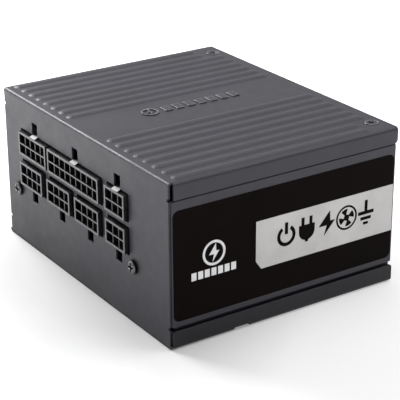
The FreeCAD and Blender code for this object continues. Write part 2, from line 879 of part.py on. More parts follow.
def latch_ramp(name, across, row):
    """The wedge that a plug's latch hooks over, rising towards the panel."""
    body = new_body(name + "_ramp")
    face = FRONT - d.socket_proud
    way = 1 if row == "high" else -1
    edge = row_level(row) + d.socket_height / 2 * way
    wedge = [
        (face + 0.3, edge - 0.3 * way),
        (face + 0.3, edge),
        (face + 2.6, edge + d.latch_rise * way),
        (face + 3.2, edge + d.latch_rise * way),
        (face + 3.2, edge - 0.3 * way),
    ]
    half = d.latch_width / 2 - 0.1
    pad(body, "YZ_Plane", [wedge], across - half, across + half)
    return body


def web_setbacks(name, across, row, pins):
    """Shallow cuts that leave the upright webs a little behind the rim."""
    half = d.cell_pitch * (pins - 1) / 2 + d.cell_side / 2
    face = FRONT - d.socket_proud
    top = d.cell_side / 2
    cuts = []
    for line in (0, 1):
        z = row_level(row) + d.cell_pitch * (line - 0.5)
        cuts.append(box(
            f"{name}_setback_{line}",
            (across - half, face - 0.5, z - d.cell_side / 2),
            (across + half, face + d.web_setback, z + top),
        ))
    return cuts


def socket(name, across, row, pins, round_cells):
    half = socket_half(pins)
    tall = d.socket_height / 2
    level = row_level(row)
    face = FRONT - d.socket_proud
    shell = box(
        name + "_block",
        (across - half, face, level - tall),
        (across + half, MODULAR, level + tall),
    )
    tools = []
    terminals = []
    side = d.cell_side / 2
    depth = d.cell_depth + 0.5
    for line, column, x, z in cell_spots(across, row, pins):
        tag = f"{name}_cell_{line}_{column}"
        cell = box(tag, (x - side, face - 0.5, z - side), (x + side, face - 0.5 + depth, z + side))
        if (line, column) in round_cells:
            cell = soften(tag + "_arch", cell, d.cell_arch, Vector(0, 1, 0), float(z))
        tools.append(cell)
        pin = d.terminal_side / 2
        terminals.append(box(
            tag + "_terminal",
            (x - pin, face + d.terminal_tip, z - pin),
            (x + pin, MODULAR + d.board_thick + 0.6, z + pin),
        ))
    hollow = join(name + "_hollow", tools + web_setbacks(name, across, row, pins))
    pins_group = group(name + "_terminals", terminals)
    housing = join(name + "_housing", [shell, latch_ramp(name, across, row)])
    opened = doc.addObject("Part::Cut", name + "_opened")
    opened.Base = housing
    opened.Tool = hollow
    finished = doc.addObject("Part::Cut", name)
    finished.Base = opened
    finished.Tool = pins_group
    node(finished, name)
    return pins_group


def modular_board(terminal_groups):
    low = (-57.0, MODULAR, FAN_TOP + 0.4)
    high = (44.0, MODULAR + d.board_thick, BOARD - 0.1)
    blank = box("modular_board_blank", low, high)
    level = d.panel_screw_height
    holes = [
        rod(f"modular_hole_{n}", 1.5, 2.0, (across, MODULAR - 0.2, level), "Y")
        for n, across in enumerate((-d.panel_screw_left, d.panel_screw_right))
    ]
    drilled = carve("modular_board_drilled", blank, holes)
    board = doc.addObject("Part::Cut", "modular_board")
    board.Base = drilled
    board.Tool = group("all_terminals", terminal_groups)
    node(board, "modular_board")


def sockets():
    terminal_groups = []
    for name, across, row, pins, round_cells in SOCKETS:
        terminal_groups.append(socket(name, across, row, pins, round_cells))
    node(group("socket_terminals", terminal_groups), "socket_terminals")
    modular_board(terminal_groups)


# ------------------------------------------------------------------- labels

def label(name, side):
    skin = WALL + d.label_thick
    low, high = (WALL, skin) if side > 0 else (-skin, -WALL)
    blank = box(name + "_blank", (low, -d.label_front, d.label_low), (high, d.label_rear, d.label_high))
    node(soften(name, blank, d.label_corner, Vector(1, 0, 0)), name)


# ----------------------------------------------------- mains inlet and switch

def ac_inlet():
    """A three-pin appliance inlet clipped into the rear panel."""
    x, z = d.inlet_across, d.inlet_up
    wide, tall = d.inlet_width / 2, d.inlet_height / 2
    rim = soften(
        "inlet_rim",
        box("inlet_rim_blank", (x - wide - 1.7, HALF_DEPTH, z - tall - 1.4),
            (x + wide + 1.7, HALF_DEPTH + d.socket_proud, z + tall + 1.4)),
        2.2, Vector(0, 1, 0),
    )
    body = soften(
        "inlet_body",
        box("inlet_body_blank", (x - wide, HALF_DEPTH - d.inlet_depth, z - tall),
            (x + wide, HALF_DEPTH + 0.5, z + tall)),
        1.0, Vector(0, 1, 0),
    )
    mouth = inlet_mouth(x, z)
    hollow = join("inlet_tool", [mouth] + inlet_pin_blocks("inlet_pin_hole"))
    node(carve("ac_inlet", join("inlet_solid", [rim, body]), [hollow]), "ac_inlet")
    node(group("inlet_pins", inlet_pin_blocks("inlet_pin")), "inlet_pins")


def inlet_mouth(x, z):
    """The recess: a rectangle with two corners cut off at the earth side."""
    body = new_body("inlet_mouth")
    wide, tall = d.inlet_mouth_width / 2, d.inlet_mouth_height / 2
    cut = d.inlet_mouth_cut
    outline = [
        (x - wide, z - tall), (x + wide, z - tall), (x + wide, z + tall - cut),
        (x + wide - cut, z + tall), (x - wide + cut, z + tall), (x - wide, z + tall - cut),
    ]
    face = HALF_DEPTH + d.socket_proud
    pad(body, "XZ_Plane", [outline], face - d.inlet_mouth_depth, face + 1)
    return body


def inlet_pin_blocks(name):
    blocks = []
    back = HALF_DEPTH - d.inlet_depth - d.inlet_pin_tail
    for n, drop in enumerate((-2.0, 2.0, -2.0)):
        x = d.inlet_across + d.inlet_pin_pitch * (n - 1)
        z = d.inlet_up + drop
        blocks.append(box(f"{name}_{n}", (x - 1, back, z - 2), (x + 1, HALF_DEPTH - 0.4, z + 2)))
    return blocks


def switch_pivot():
    return d.switch_across, HALF_DEPTH - d.rocker_pivot_depth, d.inlet_up


def switch_housing():
    x, y, z = switch_pivot()
    wide, tall = d.switch_width / 2, d.switch_height / 2
    rim = soften(
        "switch_rim",
        box("switch_rim_blank", (x - wide - 1, HALF_DEPTH, z - tall - 1),
            (x + wide + 1, HALF_DEPTH + 1, z + tall + 1)),
        1.2, Vector(0, 1, 0),
    )
    body = box(
        "switch_body",
        (x - wide, HALF_DEPTH - d.switch_depth, z - tall),
        (x + wide, HALF_DEPTH + 0.5, z + tall),
    )
    room = d.rocker_width / 2 + 0.3
    reach = d.rocker_radius + 0.35
    well = box("switch_well", (x - room, y - 6, z - reach), (x + room, HALF_DEPTH + 2, z + reach))
    left = x - d.rocker_width / 2 - 1.1
    bore = rod("switch_bore", d.pivot_radius + 0.05, d.rocker_width + 2.2, (left, y, z), "X")
    blades = switch_blades("switch_blade_hole")
    node(carve("switch_housing", join("switch_solid", [rim, body]), [well, bore] + blades), "switch_housing")
    node(group("switch_terminals", switch_blades("switch_blade")), "switch_terminals")


def switch_blades(name):
    x = d.switch_across
    back = HALF_DEPTH - d.switch_depth
    return [
        box(f"{name}_{n}", (x - 2.4, back - 6, d.inlet_up + rise - 0.4),
            (x + 2.4, back + 2.5, d.inlet_up + rise + 0.4))
        for n, rise in enumerate((-4.0, 4.0))
    ]


def switch_rocker():
    """A rocker with two faces, at rest with its upper half pressed in."""
    body = new_body("rocker_block")
    reach = d.rocker_radius
    tip = 3.6
    dip = tip - 8.0 * math.tan(math.radians(10))
    end = reach + 1
    faces = [(-3.0, -end), (tip + 0.18, -end), (dip, 0), (tip + 0.18, end), (-3.0, end)]
    half = d.rocker_width / 2
    pad(body, "YZ_Plane", [faces], -half, half)
    drum = rod("rocker_drum", reach, d.rocker_width, (-half, 0, 0), "X")
    pins = rod("rocker_pins", d.pivot_radius, d.rocker_width + 1.8, (-half - 0.9, 0, 0), "X")
    rocker = join("switch_rocker", [overlap("rocker_faces", body, drum), pins])
    rocker.Placement = Placement(Vector(), Rotation(Vector(1, 0, 0), float(d.rocker_rest_tilt)))
    place(rocker, switch_pivot())
    node(rocker, "switch_rocker")


# ---------------------------------------------------------------------- fan

def fan_guard():
    """Round wire guard: rings, two crossed wires with screw eyes, a centre disc."""
    low = d.wire_radius + 0.15
    pieces = [
        ring(f"guard_ring_{n}", d.guard_first + d.guard_pitch * n, d.wire_radius, (0, 0, low))
        for n in range(int(float(d.guard_rings)))
    ]
    pieces.append(rod("guard_disc", d.guard_disc, 1.0, (0, 0, 0.45)))
    reach = d.fan_hole_half * math.sqrt(2) - 3.9
    for n in range(4):
        angle = 45 + 90 * n
        spoke = rod(f"guard_spoke_{n}", 0.65, reach, (0, 0, 1.7), "Z")
        spoke.Placement = Placement(Vector(), Rotation(Vector(0, 0, 1), angle) * TURNS["X"])
        place(spoke, (0, 0, 1.7))
        pieces.append(spoke)
    half = d.fan_hole_half
    for n, (x, y) in enumerate(((-half, -half), (half, -half), (half, half), (-half, half))):
        pieces.append(tube(f"guard_eye_{n}", d.guard_eye, 2.25, 1.2, (x, y, 1.1)))
    node(join("fan_guard", pieces), "fan_guard")


def fan_screws():
    half = d.fan_hole_half
    screws = []
    for n, (x, y) in enumerate(((-half, -half), (half, -half), (half, half), (-half, half))):
        name = f"fan_screw_{n}"
        head = cone(name + "_head", 3.2, 3.7, 1.0, (x, y, 0.1))
        shank = rod(name + "_shank", 2.1, 10.0, (x, y, 1.0))
        slots = cross_recess(name, x, y, Size(0.1), 1)
        screws.append(carve(name, join(name + "_blank", [head, shank]), slots))
    node(group("fan_screws", screws), "fan_screws")


def fan_frame():
    """Square fan frame with a round bore, four struts and a bearing tube."""
    half = d.fan_side / 2
    square = box("fan_square", (-half, -half, FAN_BASE), (half, half, FAN_TOP))
    block = soften("fan_block", square, 4.0, Vector(0, 0, 1))
    hole = d.fan_hole_half
    spots = [(x, y) for x in (-hole, hole) for y in (-hole, hole)]
    tools = [rod("fan_bore_tool", d.fan_bore, 16, (0, 0, FAN_BASE - 0.5))]
    tools += [rod(f"fan_hole_{n}", 2.15, 16, (x, y, FAN_BASE - 0.5)) for n, (x, y) in enumerate(spots)]
    shell = carve("fan_shell", block, tools)
    base = FAN_TOP - d.strut_thick
    pieces = [shell, rod("fan_hub_plate", d.hub_plate, d.strut_thick, (0, 0, base))]
    side = d.strut_width / 2
    for n in range(4):
        strut = box(f"fan_strut_{n}", (d.strut_root, -side, base), (d.fan_bore + 0.6, side, FAN_TOP))
        turn = Rotation(Vector(0, 0, 1), float(d.strut_turn) + 90 * n)
        strut.Placement = Placement(Vector(), turn)
        start = turn.multVec(Vector(float(d.strut_root), -float(side), 0))
        place(strut, (start.x, start.y, base))
        pieces.append(strut)
    pieces.append(rod("bearing_tube", d.tube_radius, base - d.tube_low + 0.1, (0, 0, d.tube_low)))
    bore = rod("bearing_tube_bore", d.bearing_radius, base - d.tube_low, (0, 0, d.tube_low))
    node(carve("fan_frame", join("fan_frame_solid", pieces), [bore]), "fan_frame")
    seat = d.bearing_seat
    play = d.shaft_radius + d.shaft_play
    node(tube("fan_bearing", d.bearing_radius, play, base - seat, (0, 0, seat)), "fan_bearing")
    node(tube("fan_circuit_board", 12.2, d.tube_radius + 0.05, 1.0, (0, 0, base - 1.1)), "fan_circuit_board")


def fan_motor():
    """Stator inside the hub: a four-armed iron core with a coil on each arm."""
    low = d.core_low
    high = low + d.core_tall
    arm_half = d.arm_width / 2
    core = [tube("stator_ring", d.core_ring, d.tube_radius + 0.05, d.core_tall, (0, 0, low))]
    coils = []
    for n in range(4):
        turn = Rotation(Vector(0, 0, 1), 90 * n)
        arm = box(f"stator_arm_{n}", (5.6, -arm_half, low), (d.arm_reach, arm_half, high))
        coil = box(f"stator_coil_{n}", (6.6, -arm_half - 1.5, low - 0.5), (9.8, arm_half + 1.5, high + 0.5))
        slot = box(f"stator_coil_slot_{n}", (6.5, -arm_half - 0.05, low - 0.05),
                   (9.9, arm_half + 0.05, high + 0.05))
        wound = carve(f"stator_winding_{n}", coil, [slot])
        arm_turned = group(f"stator_arm_turned_{n}", [arm])
        coil_turned = group(f"stator_winding_turned_{n}", [wound])
        arm_turned.Placement = Placement(Vector(), turn)
        coil_turned.Placement = Placement(Vector(), turn)
        core.append(arm_turned)
        coils.append(coil_turned)
    node(join("fan_stator", core), "fan_stator")
    node(group("fan_coils", coils), "fan_coils")


def blade_section(radius, pitch, chord, thick, middle):
    """A thin curved section wrapped at one radius, as a closed wire."""
    steps = 7
    camber = 0.09
    upper = []
    lower = []
    for step in range(steps):
        along = step / (steps - 1) - 0.5
        lift = camber * chord * (1 - 4 * along * along)
        skin = thick / 2 * (1 - 3.2 * along * along)
        for points, offset in ((upper, skin), (lower, -skin)):
            run = along * chord
            rise = lift + offset
            across = run * math.cos(pitch) - rise * math.sin(pitch)
            height = run * math.sin(pitch) + rise * math.cos(pitch)
            angle = across / radius
            points.append(Vector(radius * math.cos(angle), radius * math.sin(angle), middle + height))
    top = Part.BSplineCurve()
    top.interpolate(upper)
    bottom = Part.BSplineCurve()
    bottom.interpolate(lower)
    edges = [
        top.toShape(), Part.makeLine(upper[-1], lower[-1]),
        bottom.toShape(), Part.makeLine(lower[0], upper[0]),
    ]
    return Part.Wire(Part.__sortEdges__(edges))


def plain_feature(name, shape):
    made = doc.addObject("Part::Feature", name)
    made.Shape = shape
    made.Placement = Placement()
    return made


def fan_blades():
    """Swept blades lofted from curved sections and cut off at the hub's face."""
    middle = 10.0
    hub = float(d.hub_radius)
    reach = float(d.blade_reach)
    face = float(d.hub_face)
    tall = float(d.hub_tall)
    sections = [
        blade_section(hub - 0.7, math.radians(38), 13.2, 1.5, middle),
        blade_section((hub + reach) / 2, math.radians(29), 17.0, 1.3, middle),
        blade_section(reach + 0.8, math.radians(21), 20.5, 1.1, middle),
    ]
    room = Part.makeCylinder(reach, tall - 0.2, Vector(0, 0, face + 0.2))
    blade = Part.makeLoft(sections, True).common(room)
    blade = blade.cut(Part.makeCylinder(hub, tall + 2, Vector(0, 0, face - 1)))
    count = int(float(d.blade_count))
    blades = []
    for step in range(count):
        turned = blade.copy()
        turned.rotate(Vector(), Vector(0, 0, 1), 360 * step / count)
        blades.append(turned)
    node(plain_feature("fan_blades", Part.makeCompound(blades)), "fan_blades")


def fan_rotor():
    """The hub cup with its shaft boss, the shaft and the magnet ring."""
    hub = float(d.hub_radius)
    face = float(d.hub_face)
    tall = float(d.hub_tall)
    cup = Part.makeCylinder(hub, tall, Vector(0, 0, face))
    cup = cup.makeFillet(0.8, [edge for edge in cup.Edges if abs(edge.BoundBox.ZMax - face) < 1e-6])
    floor = face + float(d.hub_skin)
    cup = cup.cut(Part.makeCylinder(hub - float(d.hub_wall), tall, Vector(0, 0, floor)))
    boss = Part.makeCylinder(3.0, 1.4, Vector(0, 0, floor - 0.1))
    bore = Part.makeCylinder(float(d.shaft_radius), 4, Vector(0, 0, float(d.shaft_low)))
    node(plain_feature("fan_rotor", cup.fuse(boss).cut(bore).removeSplitter()), "fan_rotor")
    node(rod("fan_shaft", d.shaft_radius, 10.6, (0, 0, d.shaft_low)), "fan_shaft")
    outer = d.hub_radius - d.hub_wall
    node(tube("fan_magnet_ring", outer, outer - d.magnet_thick, 8.0, (0, 0, 7.0)), "fan_magnet_ring")


# --------------------------------------------------------- boards and hanging parts

STANDOFFS = [(-55.0, -36.0), (55.0, -36.0), (-55.0, 36.0), (55.0, 36.0)]


def main_board(posts, screws):
    """The main board, hung from the top plate; it shares spacers and screws with the modular board."""
    low = (-d.board_half_width, -d.board_front, BOARD)
    high = (d.board_half_width, d.board_rear, BOARD + d.board_thick)
    holes = [rod(f"board_hole_{n}", 1.55, 2.4, (x, y, BOARD - 0.2)) for n, (x, y) in enumerate(STANDOFFS)]
    node(carve("main_board", box("main_board_blank", low, high), holes), "main_board")
    ceiling = TOP - d.gauge
    base = BOARD + d.board_thick
    for n, (x, y) in enumerate(STANDOFFS):
        post = rod(f"standoff_post_{n}", 2.5, ceiling - base, (x, y, base))
        posts.append(carve(f"standoff_{n}", post, [rod(f"standoff_bore_{n}", 1.5, 3.0, (x, y, base))]))
        head = rod(f"board_screw_head_{n}", 2.7, 1.8, (x, y, BOARD - 1.8))
        stem = rod(f"board_screw_stem_{n}", 1.45, 4.4, (x, y, BOARD))
        screws.append(join(f"board_screw_{n}", [head, stem]))
    node(group("board_spacers", posts), "board_spacers")
    node(group("board_screws", screws), "board_screws")
    film = box("film_blank", (-d.film_half_width, -d.board_front, d.film_level),
               (d.film_half_width, d.film_rear, d.film_level + d.film_thick))
    gaps = [
        rod(f"film_hole_{n}", 2.7, 1.0, (x, y, d.film_level - 0.3))
        for n, (x, y) in enumerate(STANDOFFS)
    ]
    node(carve("insulation_sheet", film, gaps), "insulation_sheet")


def hung_box(name, x0, x1, y0, y1, drop):
    """A block hanging from the main board."""
    return box(name, (x0, y0, BOARD - drop), (x1, y1, BOARD))


def hung_can(name, x, y, radius, drop):
    return rod(name, radius, drop, (x, y, BOARD - drop))


def wound_toroid(name, x, y, outer, inner, tall):
    """A ferrite ring standing on the board, with a fatter winding over most of it."""
    wire = 1.2
    low = BOARD - tall
    inside = (outer - wire, inner + wire, tall - wire * 2, (x, y, low + wire))
    core = tube(name + "_core", *inside)
    gap = tube(name + "_gap", *inside)
    sleeve = tube(name + "_sleeve", outer, inner, tall, (x, y, low))
    slit = box(name + "_slit", (x - 1.5, y - outer - 1, low - 1), (x + 1.5, y + outer + 1, BOARD + 1))
    winding = carve(name + "_winding", sleeve, [gap, slit])
    return core, winding


def mains_filter():
    """The inlet's own board, soldered up to the main board, and the line filter."""
    back = HALF_DEPTH - d.inlet_depth - d.inlet_pin_tail - d.board_thick
    low = (-52.0, back, d.inlet_up - 14)
    node(box("inlet_filter_board", low, (-20.0, back + d.board_thick, BOARD)), "inlet_filter_board")
    caps = [
        hung_box("x_cap_left", -54.0, -36.0, 8.0, 16.0, 15.0),
        hung_box("x_cap_right", -32.0, -15.5, 8.0, 16.0, 15.0),
    ]
    node(group("x_capacitors", caps), "x_capacitors")
    node(rod("fuse", 2.6, 17.0, (-36.0, -15.5, BOARD - 3.2), "X"), "fuse")
    discs = [rod(f"y_cap_{n}", 4.0, 3.0, (x, -25.5, BOARD - 4.6), "Y") for n, x in enumerate((-32.0, -23.0))]
    node(group("y_capacitors", discs), "y_capacitors")
    node(hung_box("bridge_rectifier", -36.0, -20.0, -34.0, -30.0, 18.0), "bridge_rectifier")
    tab = box("earth_tab", (-WALL + d.gauge, 6.0, 28.0), (-WALL + d.gauge * 2, 16.0, 36.0))
    node(tab, "earth_tab")


def chokes():
    """Two small line chokes behind the inlet and the large power-factor choke."""
    cores = []
    windings = []
    for name, x, y, outer, inner, tall in (
        ("line_choke_left", -46.0, -3.0, 9.0, 3.4, 13.0),
        ("line_choke_right", -27.2, -3.0, 9.0, 3.4, 13.0),
        ("pfc_choke", 8.9, 32.0, 12.6, 5.0, 16.0),
    ):
        core, winding = wound_toroid(name, x, y, outer, inner, tall)
        cores.append(core)
        windings.append(winding)
    node(group("choke_cores", cores), "choke_cores")
    node(group("choke_windings", windings), "choke_windings")


def transformers():
    """The main transformer, the resonant choke and the standby transformer."""
    cores = []
    windings = []
    for name, x0, x1, y0, y1, drop in (
        ("main_transformer", -17.0, 17.0, -21.0, 6.0, 30.0),
        ("resonant_choke", 21.0, 37.0, -12.0, 4.0, 16.0),
        ("standby_transformer", -54.0, -39.0, -31.0, -16.0, 16.0),
    ):
        core, winding = transformer(name, x0, x1, y0, y1, drop)
        cores.append(core)
        windings.append(winding)
    node(group("transformer_cores", cores), "transformer_cores")
    node(group("transformer_windings", windings), "transformer_windings")


def primary_side():
    node(hung_can("bulk_capacitor", 36.0, 22.0, 15.0, 34.0), "bulk_capacitor")
    spine = hung_box("primary_heatsink_spine", -10.0, 19.0, 14.0, 16.4, 26.0)
    fins = [
        hung_box(f"primary_fin_{n}", -10.0 + 5.0 * n, -8.6 + 5.0 * n, 16.3, 18.4, 26.0)
        for n in range(3)
    ]
    node(join("primary_heatsink", [spine] + fins), "primary_heatsink")
    chips = [
        hung_box(f"primary_transistor_{n}", x, x + 8.0, 9.6, 14.0, 16.0)
        for n, x in enumerate((-9.5, 0.5, 10.5))
    ]
    node(group("primary_transistors", chips), "primary_transistors")
    node(box("control_board", (43.0, -14.0, BOARD - 26), (44.6, 4.5, BOARD)), "control_board")


def transformer(name, x0, x1, y0, y1, drop):
    """A shell core round a winding that shows on two sides."""
    shell = hung_box(name + "_shell", x0, x1, y0, y1, drop)
    leg = (y1 - y0) * 0.2
    low, high = BOARD - drop * 0.82, BOARD - drop * 0.18
    window = box(name + "_window", (x0 - 1, y0 + leg, low), (x1 + 1, y1 - leg, high))
    core = carve(name + "_core", shell, [window])
    inset = 0.2
    winding = box(
        name + "_winding_block",
        (x0 + 0.8, y0 + leg + inset, low + inset),
        (x1 - 0.8, y1 - leg - inset, high - inset),
    )
    return core, soften(name + "_winding", winding, min(leg, 2.0), Vector(1, 0, 0))


def secondary_side():
    spine = hung_box("secondary_heatsink_spine", -17.0, 33.0, -25.6, -22.6, 24.0)
    node(spine, "secondary_heatsink")
    cans = [hung_can(f"output_can_{n}", -13.0 + 11.0 * n, -32.0, 5.0, 20.0) for n in range(5)]
    node(group("output_capacitors", cans), "output_capacitors")
    boards = [
        hung_box(f"converter_board_{n}", x, x + 1.6, -38.0, -18.0, 24.0)
        for n, x in enumerate((38.6, 49.6))
    ]
    node(group("converter_boards", boards), "converter_boards")
    coils = [
        box(f"converter_coil_{n}", (40.2, -36.5 + 9.0 * n, 34.0), (46.6, -29.5 + 9.0 * n, 42.0))
        for n in range(2)
    ]
    node(group("converter_coils", coils), "converter_coils")
    back = MODULAR + d.board_thick
    bars = [
        box(f"bus_bar_{n}", (x, back, 51.5), (x + 9.0, back + 2.6, BOARD))
        for n, x in enumerate((-46.0, -22.0, 2.0, 26.0))
    ]
    node(group("bus_bars", bars), "bus_bars")
    node(hung_box("fan_plug", 53.0, 57.6, -23.0, -17.0, 7.0), "fan_plug")


# -------------------------------------------------------------------- leads

def arc_radius(before, corner, after):
    """The largest bend that two runs allow: 0.45 of the shorter run."""
    way_in = corner - before
    way_out = after - corner
    turn = way_in.getAngle(way_out)
    return 0.45 * min(way_in.Length, way_out.Length) / math.tan(turn / 2), turn


def lead_path(name, points):
    spots = [Vector(*point) for point in points]
    edges = []
    start = spots[0]
    radii = []
    for before, corner, after in zip(spots, spots[1:], spots[2:]):
        radius, turn = arc_radius(before, corner, after)
        reach = radius * math.tan(turn / 2)
        way_in = (corner - before).normalize()
        way_out = (after - corner).normalize()
        first = corner - way_in * reach
        last = corner + way_out * reach
        inward = (way_out - way_in).normalize()
        middle = corner + inward * (radius / math.cos(turn / 2) - radius)
        edges.append(Part.LineSegment(start, first).toShape())
        edges.append(Part.Arc(first, middle, last).toShape())
        radii.append(round(radius, 1))
        start = last
    edges.append(Part.LineSegment(start, spots[-1]).toShape())
    print(name, "bend radii", radii)
    return Part.Wire(edges)


def lead(name, points, radius):
    """A round wire of plain section along straight runs and tangent arcs."""
    path = lead_path(name, points)
    start = path.Edges[0]
    way = (Vector(*points[1]) - Vector(*points[0])).normalize()
    section = Part.Wire([Part.Circle(start.firstVertex().Point, way, radius).toShape()])
    solid = path.makePipeShell([section], True, False)
    expected = math.pi * radius * radius * path.Length
    if abs(solid.Volume - expected) > 0.02 * expected:
        raise ValueError(f"{name} is {solid.Volume:.1f} mm3, not {expected:.1f}")
    print(name, "length", round(path.Length, 1))
    return solid


def lead_node(name, routes, radius):
    wires = [lead(name, route, radius) for route in routes]
    shape = wires[0] if len(wires) == 1 else Part.makeCompound(wires)
    node(plain_feature(name, shape), name)


def leads():
    """Insulated wires inside the case: mains switch, earth and fan."""
    board = float(HALF_DEPTH - d.inlet_depth - d.inlet_pin_tail - d.board_thick)
    under = BOARD.value
    blade = HALF_DEPTH.value - d.switch_depth.value - 6
    lead_node("mains_leads", [
        [(-11, blade, 44), (-11, 25, 44), (-11, 20.8, 48.6), (-11, 20.8, under)],
        [
            (-11, blade, 36), (-11, 24.5, 36), (-13.6, 18.2, 35.6), (-19.6, 15.2, 35.3),
            (-25, 16.2, 35.4), (-25, board, 35.4),
        ],
    ], 1.0)
    lead_node("earth_lead", [[
        (-40, board, 34), (-40, 15.5, 34), (-44.5, 11.6, 33), (-53, 11, 32), (-60.5, 11, 32),
    ]], 1.0)
    lead_node("fan_lead", [[
        (11, -4.4, FAN_TOP.value), (11, -4.4, 21.8), (26, -10.4, 22.2), (42, -16.6, 22.4),
        (52.4, -19.6, 27.5), (55.3, -20, 37), (55.3, -20, under - 7.0),
    ]], 0.9)


# ------------------------------------------------------------------ checking

def finish():
    doc.recompute()
    for thing in doc.Objects:
        if {"Invalid", "Error"} & set(thing.State):
            raise ValueError(f"{thing.Name} did not build: {thing.State}")
    os.makedirs("parts", exist_ok=True)
    for thing in nodes:
        if thing.Shape.isNull() or not thing.Shape.isValid():
            raise ValueError(f"{thing.Label} has no valid shape")
    for thing in nodes:
        thing.Shape.exportStep(os.path.join("parts", thing.Label + ".step"))
        print(f"{thing.Label:26s} solids {len(thing.Shape.Solids):3d} volume {thing.Shape.Volume:10.1f}")
    print(len(nodes), "nodes")


top_cover()
main_frame()
bottom_cover()
cover_screws()
board_posts, board_fixings = panel_screws()
sockets()
label("right_label", 1)
label("left_label", -1)
ac_inlet()
switch_housing()
switch_rocker()
fan_guard()
fan_screws()
fan_frame()
fan_motor()
fan_blades()
fan_rotor()
main_board(board_posts, board_fixings)
mains_filter()
chokes()
transformers()
primary_side()
secondary_side()
leads()
finish()
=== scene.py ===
import json
import math

import bmesh
import bpy
from mathutils import Matrix, Vector


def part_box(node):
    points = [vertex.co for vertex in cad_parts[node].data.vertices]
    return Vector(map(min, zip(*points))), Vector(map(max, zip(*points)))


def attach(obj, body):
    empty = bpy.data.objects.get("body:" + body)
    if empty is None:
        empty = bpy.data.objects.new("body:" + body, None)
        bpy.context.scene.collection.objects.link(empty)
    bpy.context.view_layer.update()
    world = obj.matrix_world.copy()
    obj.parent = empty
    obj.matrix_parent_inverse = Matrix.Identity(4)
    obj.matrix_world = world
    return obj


# A small computer power supply with a modular socket panel, in metres.
# +Z is up. The sockets face -Y, the mains inlet +Y and the side label with the band +X.

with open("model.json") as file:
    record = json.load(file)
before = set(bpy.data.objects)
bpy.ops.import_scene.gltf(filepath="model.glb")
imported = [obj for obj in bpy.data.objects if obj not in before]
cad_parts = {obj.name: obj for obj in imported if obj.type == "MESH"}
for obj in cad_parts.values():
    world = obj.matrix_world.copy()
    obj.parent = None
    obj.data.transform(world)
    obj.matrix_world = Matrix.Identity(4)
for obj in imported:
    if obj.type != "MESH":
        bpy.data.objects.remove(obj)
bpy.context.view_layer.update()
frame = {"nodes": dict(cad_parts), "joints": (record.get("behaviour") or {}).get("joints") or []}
nodes = frame["nodes"]

MM = 0.001


def lowest(name, axis):
    """A node's lowest coordinate along an axis, in millimetres."""
    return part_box(name)[0]["XYZ".index(axis)] / MM


def highest(name, axis):
    """A node's highest coordinate along an axis, in millimetres."""
    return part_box(name)[1]["XYZ".index(axis)] / MM


# ------------------------------------------------------------------ materials

# how far the rounded normal agrees with the true one, from an open face to an edge
NEARLY_FLAT = 0.99
CLEARLY_TURNED = 0.84


